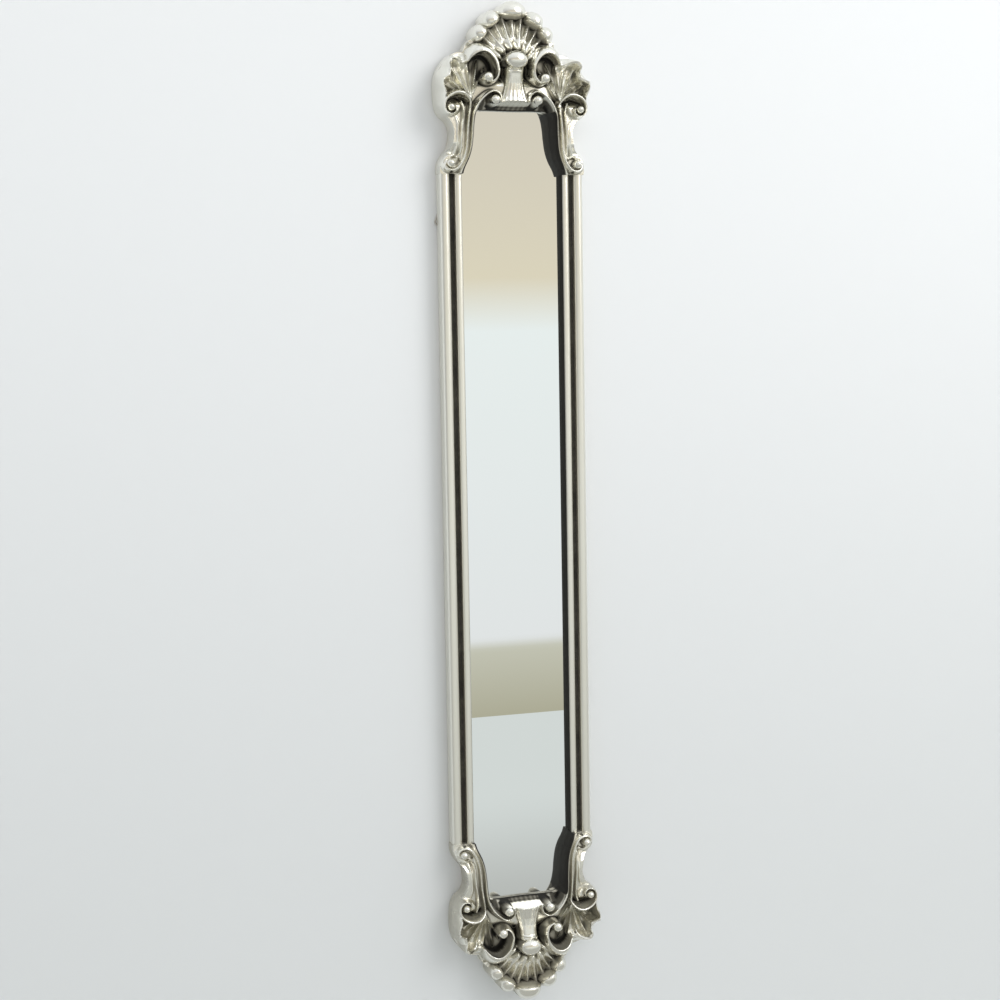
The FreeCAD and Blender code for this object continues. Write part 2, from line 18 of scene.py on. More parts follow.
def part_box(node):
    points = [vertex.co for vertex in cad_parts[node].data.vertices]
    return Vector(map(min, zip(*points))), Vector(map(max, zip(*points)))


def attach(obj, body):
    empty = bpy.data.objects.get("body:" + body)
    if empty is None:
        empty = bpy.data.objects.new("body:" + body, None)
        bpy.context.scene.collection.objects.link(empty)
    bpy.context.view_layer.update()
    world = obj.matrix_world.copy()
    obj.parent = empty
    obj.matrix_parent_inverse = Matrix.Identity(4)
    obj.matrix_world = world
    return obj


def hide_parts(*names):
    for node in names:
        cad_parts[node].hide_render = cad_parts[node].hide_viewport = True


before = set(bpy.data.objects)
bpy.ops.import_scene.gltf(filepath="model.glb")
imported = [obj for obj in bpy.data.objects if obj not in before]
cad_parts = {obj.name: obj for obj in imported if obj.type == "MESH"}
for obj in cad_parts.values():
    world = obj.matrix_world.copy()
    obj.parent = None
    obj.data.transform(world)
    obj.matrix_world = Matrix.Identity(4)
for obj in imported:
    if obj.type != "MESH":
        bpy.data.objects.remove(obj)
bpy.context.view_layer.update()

bl_info = {
    "name": "Narrow Wall Mirror",
    "version": (1, 0, 0),
    "blender": (4, 5, 0),
    "location": "View3D > Sidebar > Wall Mirror",
    "description": "Builds a tall silver wall mirror around its packed frame",
    "category": "Object",
}

MM = 0.001
RAIL_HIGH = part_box("right_rail")[1]
GLASS_LOW, GLASS_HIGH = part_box("mirror_glass")
BACK_Y = RAIL_HIGH.y
RAIL_END = RAIL_HIGH.z
SEAT_Y = GLASS_LOW.y
PANE_CLEARANCE = 0.0005
TURN_OVER = Matrix.Rotation(math.pi, 4, "Y")
MIRROR_X = Matrix.Diagonal((-1, 1, 1, 1))


# Drawing of the crest, right half, in millimetres

CREST_WIDTH = 93.0
CREST_RISE = 201.0

# Outer edge as smooth runs that meet in notches: side, shoulder of the scroll, three lobes.
EDGE_RUNS = [
    [(89.5, 0), (89.9, 5), (88.5, 13.7), (83.4, 23), (77.2, 30), (74.6, 40.5), (74.2, 50.5),
     (78.4, 60.8), (85.8, 66.8), (90.4, 75.4), (91.9, 86), (92.2, 96), (92.0, 105),
     (90.4, 114.5), (86.6, 123), (79.8, 132.2), (72.4, 137.8), (65, 140.6), (58.5, 141)],
    [(58.5, 141), (57.0, 145.5), (54.6, 150.5), (51.8, 153.8), (48.8, 156)],
    [(48.8, 156), (49.4, 160.5), (47.7, 165.8), (43.8, 170.6), (36.8, 174.8)],
    [(36.8, 174.8), (36.2, 179.7), (32.4, 185.2), (26.2, 188.8), (16.6, 188.8)],
    [(16.6, 188.8), (13.9, 193.3), (8.2, 197.9), (0, 199.8)],
]

# Edge of the opening from the rail's lip up the stem and over to the axis.
SIGHT_RUN = [
    (62.5, 0), (60.4, 6.5), (57.0, 13.7), (54.2, 20.5), (51.6, 31), (50.2, 45), (49.6, 58),
    (48.6, 67.0), (45.4, 72.0), (39.5, 74.0), (28, 74.4), (14, 74.2), (0, 74.0),
]

# Raised ridges: centre line, tops along it, half widths to its left and to its right.
SCROLL = (
    [(56.4, 128.7), (52.1, 134), (46.5, 137.8), (40.3, 139.3), (34.4, 137.8), (29.4, 133.9),
     (25.3, 128.5), (23, 122.3), (22.3, 116.1), (23.9, 110.2), (27.7, 106.2), (32.2, 104.9),
     (36.4, 105.9), (39.4, 108.8)],
    [28, 32, 35, 36, 36, 36, 36, 36, 36, 35.5, 35, 35, 35],
    [2.2, 2.6, 2.8, 2.8, 2.8, 2.6, 2.4, 2.2],
    [3.5, 9, 12.5, 11.5, 8.5, 6.5, 5.2, 4.4, 3.8, 3.0],
)
VOLUTE = (
    [(54.2, 78), (56.2, 83.4), (60.8, 88.4), (66, 90.9), (71.6, 91.4), (77.2, 90), (82.4, 87),
     (86.0, 82.4), (87.4, 76.6), (86.0, 71.0), (81.8, 67.4), (76.6, 67.6), (73.2, 71.4),
     (74.0, 76.4)],
    [29, 32, 34.5, 36, 36, 35.5, 35, 34.5, 34, 34, 34, 34, 33.5, 32],
    [2.6, 3.8, 5.0, 5.4, 5.2, 4.6, 3.8, 3.2, 3.0, 2.8, 2.6, 2.4, 2.2],
    [2.2, 2.8, 3.4, 3.8, 4.2, 4.2, 3.6, 3.2, 3.0, 2.8, 2.6, 2.4, 2.2],
)
OUTER_STEM = (
    [(65.5, 82), (62.8, 74), (63.2, 62), (64.6, 50), (65.0, 38), (65.4, 30), (66.6, 23)],
    [27, 28.5, 29, 29, 28.5, 28, 26],
    [2.6, 2.6, 2.6, 2.4],
    [2.6, 2.6, 2.6, 2.4],
)
RIM_STEM = (
    [(71.5, 64), (69.4, 56), (69.6, 46), (70.0, 37), (71.4, 29), (74.0, 22)],
    [24, 26, 26, 26, 25, 24, 22],
    [2.4, 2.8, 2.8, 3.2],
    [3.6, 4.2, 4.2, 5.0],
)
MIDDLE_STEM = (
    [(55.4, 88), (55.6, 76), (57.0, 64), (58.2, 52), (58.8, 40), (59.8, 28), (62.4, 18),
     (66.2, 10.8), (70.8, 5.6), (76.6, 3.6), (82.0, 5.0), (84.8, 9.4), (83.4, 13.8)],
    [29, 30.5, 31, 31, 30.5, 30, 29.5, 29.5, 29.5, 29, 28, 26],
    [2.8, 2.8, 2.8, 2.8, 3.4, 3.0],
    [2.8, 2.8, 2.8, 2.8, 3.4, 3.0],
)
INNER_STEM = (
    [(19.2, 80.4), (17.6, 85.2), (19.4, 91.2), (25.5, 94.6), (32.4, 92.8), (40.2, 86.6),
     (46.2, 79.2), (50.2, 70), (52.0, 58), (52.6, 45), (53.9, 31), (56.4, 20.5), (59.6, 13),
     (64.2, 5.2), (66.6, 0)],
    [30, 32, 33, 33, 32.5, 32, 31.5, 31, 30.5, 29.5, 28, 26.5, 25],
    [2.6, 3.0, 3.4, 3.6, 3.2, 2.8, 2.8, 2.8],
    [2.8, 3.2, 3.6, 3.8, 3.4, 3.0, 3.0, 3.4],
)
RIDGES = [SCROLL, VOLUTE, OUTER_STEM, RIM_STEM, MIDDLE_STEM, INNER_STEM]
RIDGE_FOOT = 14.0
RIDGE_ROUND = 0.6

# Round forms: centre, half width, half height, lean in degrees, foot, top.
LOBES = [
    (0.0, 184.8, 18.0, 15.2, 0, 15, 34.5),
    (25.8, 174.8, 12.2, 13.2, -32, 15, 33.0),
    (38.6, 159.8, 10.8, 12.6, -56, 15, 32.0),
]
LOBE_FALL = 0.42
LOBE_ROUND = (0.45, 2.2)
BOSS = (0.0, 129.8, 13.6, 10.8, 0, 33, 42.5)
BEADS = [
    (35.1, 109.4, 6.2, 6.2, 0, 33, 39.5),
    (79.6, 74.6, 4.8, 4.8, 0, 30, 37.0),
    (26.0, 83.4, 6.2, 6.2, 0, 31.5, 38.0),
    (78.6, 11.4, 4.9, 4.9, 0, 27, 33.0),
]

# The fluted shell behind the boss, by the distance from its root.
SHELL_ROOT = (0.0, 122.0)
SHELL_FLUTE = 11.4
SHELL_REACH = 72
SHELL_SWEEP = ([8, 16, 24, 34, 46, 58, 70], [20, 24.0, 26.5, 24.5, 20.5, 17.5, 17.5])
SHELL_SWELL = ([10, 16, 24, 34], [1.5, 5.0, 7.0, 5.0])
SHELL_GROOVE = ([24, 40, 58], [2.6, 4.6, 5.4])

# The scalloped fan at the side: its edge with tops, and its bowl by the share of the way out.
FAN_ROOT = (55.0, 83.0)
FAN_EDGE = [
    (86, 90, 34), (88.4, 95.4, 35.5), (90, 100.4, 36), (91, 105.2, 37), (84.6, 109, 33.5),
    (81, 112.4, 31.5), (79.4, 118, 31), (81.2, 124, 33), (79.2, 129, 32.5), (74, 130.8, 30),
    (67.6, 128.8, 24.5), (61.6, 127.4, 21.5), (55.5, 130, 23),
]
FAN_START, FAN_END = -30, 138
FAN_FLUTE = 14.2
FAN_PHASE = 48.0
FAN_FLOOR = 18.0
FAN_SCOOP = ([0, 0.2, 0.45, 0.7, 0.88], [31.0, 27.5, 22.5, 18.5, FAN_FLOOR])
FAN_SUNK = ([0, 0.2, 0.45, 0.75, 1.0], [31.0, 26.5, 20.5, 15.5, 11.5])
FAN_RIBS = ([0, 0.15, 0.4, 0.7, 0.9, 1.0], [0, 1.6, 5.6, 6.4, 3.6, 0.2])

# The waisted pedestal: height along the axis, half width, top; and the fillets under the boss.
PEDESTAL_RISE = [72, 75, 79, 83, 88, 96, 104, 111.7, 117, 121, 123]
PEDESTAL_HALF = [22.4, 22.4, 22.0, 20.2, 18.0, 15.0, 12.8, 11.8, 12.0, 12.6, 12.0]
PEDESTAL_TOP = [27.0, 31.0, 34.0, 33.0, 31.5, 31.0, 31.5, 33.0, 34.0, 35.5, 34.5]
FILLETS = [(120.4, 1.1, 1.0), (116.8, 0.9, 0.8)]

# Ground between the forms, the inside of the volute and the ground about the collar's curl.
GROUND = 13.0
VOLUTE_FLOOR = (78.0, 78.0)
CURL_HOLLOW = (73.0, 14.4)
CURL_GROUND = (77.6, 12.0)
SCROLL_HOLLOW = (39.0, 123.0)

# How far the relief stands out, growing from the collar to the ornament.
STANDING = ([0, 50, 85], [1.0, 1.07, 1.16])

# Height of the sloped lip at the head of the opening, by the distance from its edge.
HEAD_SLOPE = ([0, 4, 6, 7.5, 9, 13], [8.5, 15.5, 22.5, 28.0, 31.5, 60.0])

BELOW = -30.0
ABOVE = 60.0
# Reveal and seat values are patina with painted shade on the walls of the opening and a painted
# shadow line at the glass.
REVEAL_PATINA_AND_SHADE = 1.9
SEAT_PATINA_AND_SHADE = 2.2
BACK_PATINA = 0.95
SIDE_PATINA = 0.05
WALL_TOP_BAND = 1.0
WALL_FOOT_BAND = 1.4
CREST_SATIN = 0.21
# The bottom crest's larger amount is painted shade, for the weaker light from below.
CREST_AGE_AND_SHADE = {"top": 0.15, "bottom": 0.65}


# Drawing of the rails and the fittings, in millimetres

# Section of the right rail from the lip outwards: place across, height above the back.
RAIL_LIP = 62.5
RAIL_SIDE = 89.0
RAIL_REBATE = 66.5
SEAT_HEIGHT = 6.0
BEAD_SHOULDER = [
    (RAIL_LIP, 15.0), (62.6, 15.8), (62.9, 16.6), (63.4, 17.3), (64.2, 17.8), (65.4, 18.15)]
BEAD_CENTRE = (66.85, 13.9)
BEAD_RADIUS = 4.35
GROOVE = (71.2, 77.0, 10.6)
# The groove's value is patina with painted shade in the groove.
GROOVE_PATINA_AND_SHADE = 1.6
RAIL_BACK_PATINA = 0.96
ROLL_CENTRE = (83.0, 13.0)
ROLL_RADIUS = 6.0
RAIL_SATIN = 0.31

# Places of the screws and bumpers on the back: across from the axis, up from the middle.
SIDES = (-1, 1)
HANGER_SCREWS = [(side * 79.167, rise) for side in SIDES for rise in (330.0, 308.0)]
BUTTON_SCREWS = [(side * 74.5, rise) for side in SIDES for rise in (230.0, 0.0, -230.0)]
BUTTON_SCREWS += [(0.0, 486.5), (0.0, -486.5)]
BUMPERS = [(side * 60.0, end * 512.0) for side in SIDES for end in SIDES]
BUTTONS = [f"turn_button_{side}_{height}" for side in ("left", "right")
           for height in ("upper", "middle", "lower")]
BUTTONS += ["turn_button_top", "turn_button_bottom"]

# Turned profiles: radius, place along the axis.
SCREW_SHANK = [(0.3, -10.0), (1.5, -8.4), (1.5, 0.0)]
SCREW_DOME = [
    (3.2, 0.0), (3.2, 0.45), (3.12, 0.75), (2.9, 1.02), (2.55, 1.2), (2.2, 1.3), (2.0, 1.34),
    (1.8, 1.36), (1.6, 1.38), (1.35, 1.39), (1.1, 1.4), (0.9, 1.4), (0.7, 1.4), (0.5, 1.4),
    (0.25, 1.4)]
RECESS_DEPTH = 0.85
BUTTON_THICKNESS = 1.4
BUMPER_RADIUS = 6.0
BUMPER_HEIGHT = 5.0
BUMPER_ROUND = 1.6

# Plated steels: tone, and how far their rolling marks are stretched.
STEELS = {
    "strap_steel": (1.0, (1.0, 1.0, 0.06)),
    "ring_steel": (0.92, (1.0, 1.0, 0.3)),
    "screw_steel": (0.95, (1.0, 1.0, 1.0)),
    "button_steel": (0.9, (0.06, 1.0, 1.0)),
    "button_screw_steel": (0.95, (1.0, 1.0, 1.0)),
    "dowel_steel": (1.0, (1.0, 1.0, 0.1)),
}
YELLOWING = (0.72, 0.64, 0.48)

RING_HALF = 13.2
RING_RISE = 34.0
RING_BENDS = (3.4, 3.4, 4.5)
STRAP_THICKNESS = 1.0
STRAP_CORNER = 3.0
EYE_RADIUS = 1.78
EYE_INSET = 2.28


# Stage and camera

CAMERA_PLACE = (-0.707, -2.097, 0.214)
CAMERA_TURN = (18.26, 5.21, -0.99)
FOCAL_SHARE = 1.8336
WALL_Y = 0.0006
FLOOR_Z = -1.25
ROOM_Y = -4.5
ROOM_LOW, ROOM_HIGH = -1.5, 2.5
ROOM_BANDS = [
    (0.060, (0.44, 0.42, 0.31, 1)), (0.128, (0.58, 0.57, 0.47, 1)),
    (0.138, (0.81, 0.82, 0.82, 1)), (0.430, (0.865, 0.905, 0.89, 1)),
    (0.480, (0.76, 0.69, 0.53, 1)), (0.700, (0.66, 0.61, 0.53, 1)),
]
REFLECTED_ONLY = {"camera": False, "diffuse": False, "shadow": False}
LAMPS = [
    ("key", (1.8, -2.4, 1.9), (0, 0, 0.1), (1.8, 2.4), 43),
    ("back", (0.6, 2.6, 1.4), (0, 0, 0), (1.6, 1.6), 30),
]


# Node graphs


class Wire:
    """A socket of a node tree that can be used in arithmetic."""

    def __init__(self, graph, socket):
        self.graph = graph
        self.socket = socket

    def __add__(self, other):
        return self.graph.math("ADD", self, other)

    def __sub__(self, other):
        return self.graph.math("SUBTRACT", self, other)

    def __rsub__(self, other):
        return self.graph.math("SUBTRACT", other, self)

    def __mul__(self, other):
        return self.graph.math("MULTIPLY", self, other)

    def __truediv__(self, other):
        return self.graph.math("DIVIDE", self, other)

    __radd__ = __add__

    def clamped(self):
        return self.graph.math("MINIMUM", self.graph.math("MAXIMUM", self, 0.0), 1.0)

    def eased(self, low, high):
        """Smooth rise from 0 at low to 1 at high."""
        return self.graph.add("ShaderNodeMapRange", {
            "Value": self, "From Min": low, "From Max": high}, interpolation_type="SMOOTHSTEP")


class Graph:
    """Adds nodes to one tree, for a material or for geometry."""

    def __init__(self, tree):
        self.tree = tree

    def add(self, kind, inputs=(), out=0, **settings):
        """One node: its settings, then values or links of its sockets; gives one output."""
        node = self.tree.nodes.new(kind)
        for key, value in settings.items():
            setattr(node, key, value)
        for key, value in dict(inputs).items():
            self.feed(node.inputs[key], value)
        return Wire(self, node.outputs[out]) if node.outputs else None

    def feed(self, socket, value):
        """Give a socket a constant or a link."""
        if isinstance(value, Wire):
            self.tree.links.new(value.socket, socket)
        else:
            socket.default_value = value

    def math(self, operation, first, second):
        return self.add("ShaderNodeMath", {0: first, 1: second}, operation=operation)

    def mix(self, factor, first, second):
        """Blend of two colours."""
        return self.add("ShaderNodeMix", {0: factor, 6: first, 7: second}, 2, data_type="RGBA")

    def ramp(self, factor, marks):
        """Colour along a row of marks."""
        colour = self.add("ShaderNodeValToRGB", {"Fac": factor})
        elements = colour.socket.node.color_ramp.elements
        while len(elements) < len(marks):
            elements.new(1.0)
        for element, (place, shade) in zip(elements, marks):
            element.position = place
            element.color = shade
        return colour


class Finish(Graph):
    """A material on one Principled shader, with patterns in object coordinates."""

    def __init__(self, name, **constants):
        self.material = bpy.data.materials.new(name)
        self.material.use_nodes = True
        super().__init__(self.material.node_tree)
        self.shader = self.tree.nodes["Principled BSDF"]
        self.place = self.add("ShaderNodeTexCoord", out="Object")
        self.set(**constants)

    def set(self, **values):
        """Feed sockets of the shader; an underscore stands for a space."""
        for key, value in values.items():
            self.feed(self.shader.inputs[key.replace("_", " ")], value)

    def axis(self, name):
        """One of the object coordinates."""
        return self.add("ShaderNodeSeparateXYZ", {"Vector": self.place}, name)

    def stretched(self, scale):
        """Object coordinates stretched along the axes."""
        return self.add("ShaderNodeMapping", {"Vector": self.place, "Scale": scale})

    def noise(self, scale, detail=3.0, roughness=0.55, place=None):
        return self.add("ShaderNodeTexNoise", {
            "Vector": place or self.place, "Scale": scale, "Detail": detail,
            "Roughness": roughness})

    def attribute(self, name):
        return self.add("ShaderNodeAttribute", out="Fac", attribute_name=name)

    def bump(self, height, strength, distance):
        self.set(Normal=self.add("ShaderNodeBump", {
            "Height": height, "Strength": strength, "Distance": distance}))


def rgba(colour, factor=1.0):
    """A colour with full cover, made lighter or darker by a factor."""
    return (*[min(c * factor, 1.0) for c in colour], 1.0)


# Finishes


def silver_finish(name, look, satin):
    """Polished silver darkened by its patina mask, which holds patina in the hollows and painted
    shade on reveals, grooves and under lobes; satin is the bare metal's roughness.
    """
    finish = Finish(name)
    cloud = finish.noise(38.0, 4.0)
    grain = finish.noise(420.0, 3.0)
    patina_and_shade = finish.attribute("patina_and_shade") + (cloud - 0.5) * 0.30 + (grain - 0.5) * 0.22
    dark = patina_and_shade.eased(0.48, 1.45)
    tarnish = patina_and_shade.eased(0.05, 0.70) * 0.5
    # The deepest, near-black tone falls mostly on painted shade: reveals, seat line, head corner
    # and grooves.
    deep = patina_and_shade.eased(1.15, 1.75)
    warm = finish.mix(tarnish, rgba(look.silver), rgba(look.tarnish))
    brown = finish.mix(deep, rgba(look.patina_and_shade), rgba(look.patina_and_shade, 0.09))
    finish.set(
        Base_Color=finish.mix(dark, warm, brown),
        Metallic=1.0 - dark * 0.55,
        Roughness=satin + dark * 0.36 + tarnish * 0.14 + (cloud - 0.5) * 0.10,
    )
    finish.bump(finish.noise(150.0, 2.0) + grain * 0.25, 0.10, 0.0012)
    return finish.material


def mirror_finish(look):
    """Silvered glass with the faintest clouding."""
    finish = Finish("silvered_glass", Metallic=1.0)
    cloud = finish.noise(9.0, 4.0)
    tint = finish.mix((cloud - 0.35).clamped() * 0.10, rgba(look.glass), (0.80, 0.83, 0.82, 1.0))
    finish.set(Base_Color=tint, Roughness=0.004 + (cloud - 0.5).clamped() * 0.03)
    return finish.material


def board_finish(look):
    """Hard fibreboard: matted fibres over a brown ground."""
    finish = Finish("hard_fibreboard", Specular_IOR_Level=0.35)
    fibre = finish.noise(900.0, 4.0, 0.7, finish.stretched((1.0, 1.0, 0.25)))
    fleck = finish.noise(2600.0, 2.0)
    cloud = finish.noise(14.0, 3.0)
    tone = finish.ramp(fibre * 0.6 + fleck * 0.25 + cloud * 0.35, [
        (0.38, rgba(look.board, 0.55)), (0.60, rgba(look.board)), (0.80, rgba(look.board, 1.5))])
    finish.set(Base_Color=tone, Roughness=0.62 + fleck * 0.2)
    finish.bump(fibre + fleck * 0.4, 0.35, 0.0004)
    return finish.material


def steel_finish(name, look):
    """Plated steel with rolling marks and a little yellowing."""
    tone, brush = STEELS[name]
    colour = [c * tone for c in look.steel]
    finish = Finish(name, Metallic=1.0)
    lines = finish.noise(700.0, 3.0, 0.6, finish.stretched(brush))
    spangle = finish.noise(160.0, 2.0)
    worn = finish.noise(45.0, 4.0).eased(0.52, 0.74)
    tint = finish.mix(spangle.eased(0.35, 0.7), rgba(colour, 0.86), rgba(colour))
    yellowed = rgba([c * part for c, part in zip(colour, YELLOWING)])
    finish.set(
        Base_Color=finish.mix(worn * 0.5, tint, yellowed),
        Roughness=0.26 + lines * 0.16 + worn * 0.14,
    )
    finish.bump(lines, 0.12, 0.0003)
    return finish.material


def rubber_finish(look):
    """Matt rubber, dusty towards its skin."""
    finish = Finish("bumper_rubber", Specular_IOR_Level=0.4)
    dust = finish.noise(300.0, 4.0)
    dusty = rgba([c * 2.6 + 0.02 for c in look.rubber])
    finish.set(
        Base_Color=finish.mix(dust.eased(0.45, 0.75), rgba(look.rubber), dusty),
        Roughness=0.62 + dust * 0.25,
    )
    finish.bump(finish.noise(1500.0, 2.0), 0.25, 0.0003)
    return finish.material


# Pieces


def linked(name, data):
    piece = bpy.data.objects.new(name, data)
    bpy.context.scene.collection.objects.link(piece)
    return piece


def coat(mesh, material):
    mesh.materials.clear()
    mesh.materials.append(material)


def finished(name, mesh, material, node, body="frame", angle=38):
    """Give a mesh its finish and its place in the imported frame."""
    mesh.name = name
    piece = linked(name, mesh)
    coat(mesh, material)
    mesh.shade_smooth()
    mesh.set_sharp_from_angle(angle=math.radians(angle))
    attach(piece, body)
    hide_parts(node)


def dress(node, material):
    """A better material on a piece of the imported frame."""
    coat(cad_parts[node].data, material)


def mesh_from(name, points, faces, edges=()):
    mesh = bpy.data.meshes.new(name)
    mesh.from_pydata([tuple(point) for point in points], edges, faces)
    mesh.validate()
    return mesh


def store(mesh, name, values):
    """Keep one number for every point of a mesh."""
    layer = mesh.attributes.new(name, "FLOAT", "POINT")
    layer.data.foreach_set("value", np.asarray(values, np.float32))


def closed_line(name, points):
    """A closed line of points without faces."""
    count = len(points)
    return mesh_from(name, points, [], [(i, (i + 1) % count) for i in range(count)])


def skinned(name, rings):
    """A closed mesh over rings of equal count, with a face at either end."""
    count = len(rings[0])
    faces = []
    for ring in range(len(rings) - 1):
        for k in range(count):
            a = ring * count + k
            b = ring * count + (k + 1) % count
            faces.append((a, a + count, b + count, b))
    faces.append(tuple(range(count)))
    last = (len(rings) - 1) * count
    faces.append(tuple(range(last + count - 1, last - 1, -1)))
    return mesh_from(name, [point for ring in rings for point in ring], faces)


def turned(name, profile, count):
    """A round piece about the Y axis from radii and places along it."""
    angles = [2 * math.pi * k / count for k in range(count)]
    return skinned(name, [
        [(radius * math.cos(a) * MM, along * MM, radius * math.sin(a) * MM) for a in angles]
        for radius, along in profile])


def geometry_tree(name, label, kind="NodeSocketFloat"):
    """An empty tree with inputs for a geometry, one named value and a material."""
    tree = bpy.data.node_groups.new(name, "GeometryNodeTree")
    tree.interface.new_socket("Geometry", in_out="OUTPUT", socket_type="NodeSocketGeometry")
    inputs = {"Geometry": "NodeSocketGeometry", label: kind, "Material": "NodeSocketMaterial"}
    for key, socket in inputs.items():
        tree.interface.new_socket(key, in_out="INPUT", socket_type=socket)
    graph = Graph(tree)
    outputs = graph.add("NodeGroupInput").socket.node.outputs
    return graph, [Wire(graph, outputs[key]) for key in inputs]


def close_tree(graph, geometry, material):
    """Realize, set the material and lead the result out of the tree."""
    real = graph.add("GeometryNodeRealizeInstances", {"Geometry": geometry})
    coated = graph.add("GeometryNodeSetMaterial", {"Geometry": real, "Material": material})
    graph.add("NodeGroupOutput", {"Geometry": coated})
    return graph.tree


def baked(tree, source, **values):
    """Run a tree on a mesh and keep the result as a plain mesh."""
    holder = linked("holder", source)
    modifier = holder.modifiers.new("Build", "NODES")
    modifier.node_group = tree
    for item in tree.interface.items_tree:
        if item.item_type == "SOCKET" and item.in_out == "INPUT" and item.name in values:
            modifier[item.identifier] = values[item.name]
    depsgraph = bpy.context.evaluated_depsgraph_get()
    mesh = bpy.data.meshes.new_from_object(holder.evaluated_get(depsgraph))
    bpy.data.objects.remove(holder)
    return mesh


# Curves and heights of the crest


def spline(points, per_span=8):
    """Smooth line through points, each span divided evenly."""
    points = np.array(points, float)
    padded = np.vstack([2 * points[0] - points[1], points, 2 * points[-1] - points[-2]])
    steps = np.linspace(0, 1, per_span, endpoint=False)[:, None]
    line = []
    for a, b, c, d in zip(padded, padded[1:], padded[2:], padded[3:]):
        line.append(0.5 * (2 * b + (c - a) * steps + (2 * a - 5 * b + 4 * c - d) * steps ** 2
                           + (3 * b - a - 3 * c + d) * steps ** 3))
    return np.vstack(line + [points[-1:]])


def nearest(u, w, line):
    """Distance to a line, the side of it, the share of its length and the nearest place."""
    best = np.full(u.shape, np.inf)
    side = np.zeros(u.shape)
    along = np.zeros(u.shape)
    foot = np.zeros(u.shape + (2,))
    spans = np.linalg.norm(np.diff(line, axis=0), axis=1)
    starts = np.concatenate([[0], np.cumsum(spans)])
    for i, (a, b) in enumerate(zip(line, line[1:])):
        run = b - a
        share = np.clip(((u - a[0]) * run[0] + (w - a[1]) * run[1]) / (run @ run), 0, 1)
        near_u = a[0] + share * run[0]
        near_w = a[1] + share * run[1]
        gap = (u - near_u) ** 2 + (w - near_w) ** 2
        closer = gap < best
        best = np.where(closer, gap, best)
        side = np.where(closer, run[0] * (w - near_w) - run[1] * (u - near_u), side)
        along = np.where(closer, (starts[i] + share * spans[i]) / starts[-1], along)
        foot[closer] = np.stack([near_u, near_w], axis=-1)[closer]
    return np.sqrt(best), np.sign(side), along, foot


def inside(u, w, loop):
    """True where a place lies within a closed loop."""
    within = np.zeros(u.shape, bool)
    for a, b in zip(loop, np.roll(loop, -1, axis=0)):
        if a[1] == b[1]:
            continue
        crossing = (w < a[1]) != (w < b[1])
        within ^= crossing & (u < a[0] + (w - a[1]) / (b[1] - a[1]) * (b[0] - a[0]))
    return within


def smooth_max(a, b, blend):
    gap = np.clip(0.5 + 0.5 * (a - b) / blend, 0, 1)
    return b + (a - b) * gap + blend * gap * (1 - gap)


def smooth_min(a, b, blend):
    return -smooth_max(-a, -b, blend)


def ease(low, high, value):
    """Smooth rise from 0 at low to 1 at high."""
    share = np.clip((value - low) / (high - low), 0, 1)
    return share * share * (3 - 2 * share)


def rounded(share):
    """A quarter round from 0 at share 0 to 1 at share 1."""
    return np.sqrt(1 - (1 - np.clip(share, 0, 1)) ** 2)


def bell(distance):
    return np.exp(-distance ** 2)


def away(u, w, place):
    return np.hypot(u - place[0], w - place[1])


def stops(values, along):
    return np.interp(along, np.linspace(0, 1, len(values)), values)


def ridge(u, w, points, tops, lefts, rights, foot=RIDGE_FOOT):
    """A raised line whose top and two half widths change along it."""
    line = spline(points)
    reach = max(max(lefts), max(rights))
    height = np.full(u.shape, BELOW)
    close = (u > line[:, 0].min() - reach) & (u < line[:, 0].max() + reach)
    close &= (w > line[:, 1].min() - reach) & (w < line[:, 1].max() + reach)
    gap, side, along, _ = nearest(u[close], w[close], line)
    width = np.where(side > 0, stops(lefts, along), stops(rights, along))
    share = np.clip(gap / width, 0, 1)
    rise = foot + (stops(tops, along) - foot) * (1 - share ** 2) ** RIDGE_ROUND
    height[close] = np.where(gap < width, rise, BELOW)
    return height


def leaned(u, w, form):
    """Shares of the half width across and of the half height up a leaning form."""
    centre_u, centre_w, half_u, half_w, lean = form[:5]
    turn = math.radians(lean)
    across = (u - centre_u) * math.cos(turn) + (w - centre_w) * math.sin(turn)
    up = (w - centre_w) * math.cos(turn) - (u - centre_u) * math.sin(turn)
    return across / half_u, up / half_w


def oval(u, w, form, power=0.5, bulge=2.0):
    """A rounded form over an oval."""
    across, up = leaned(u, w, form)
    foot, top = form[5:]
    share = np.abs(across) ** bulge + np.abs(up) ** bulge
    return np.where(share < 1, foot + (top - foot) * (1 - np.clip(share, 0, 1)) ** power, BELOW)


def lobe(u, w, form):
    """A lip that swells from the outer edge and falls steeply on its inner side."""
    short = (*form[:3], LOBE_FALL * form[3], *form[4:])
    up = leaned(u, w, form)[1]
    return np.where(up > 0, oval(u, w, form, *LOBE_ROUND), oval(u, w, short, *LOBE_ROUND))


def lobe_shade(u, w):
    """How far a place lies under the lip of a lobe, where painted shadow goes."""
    shade = np.zeros(u.shape)
    for form in LOBES:
        across, up = leaned(u, w, form)
        under = ease(-0.14, -0.34, up) * ease(-0.95, -0.60, up)
        shade = np.maximum(shade, under * ease(1.0, 0.75, np.abs(across)))
    return shade


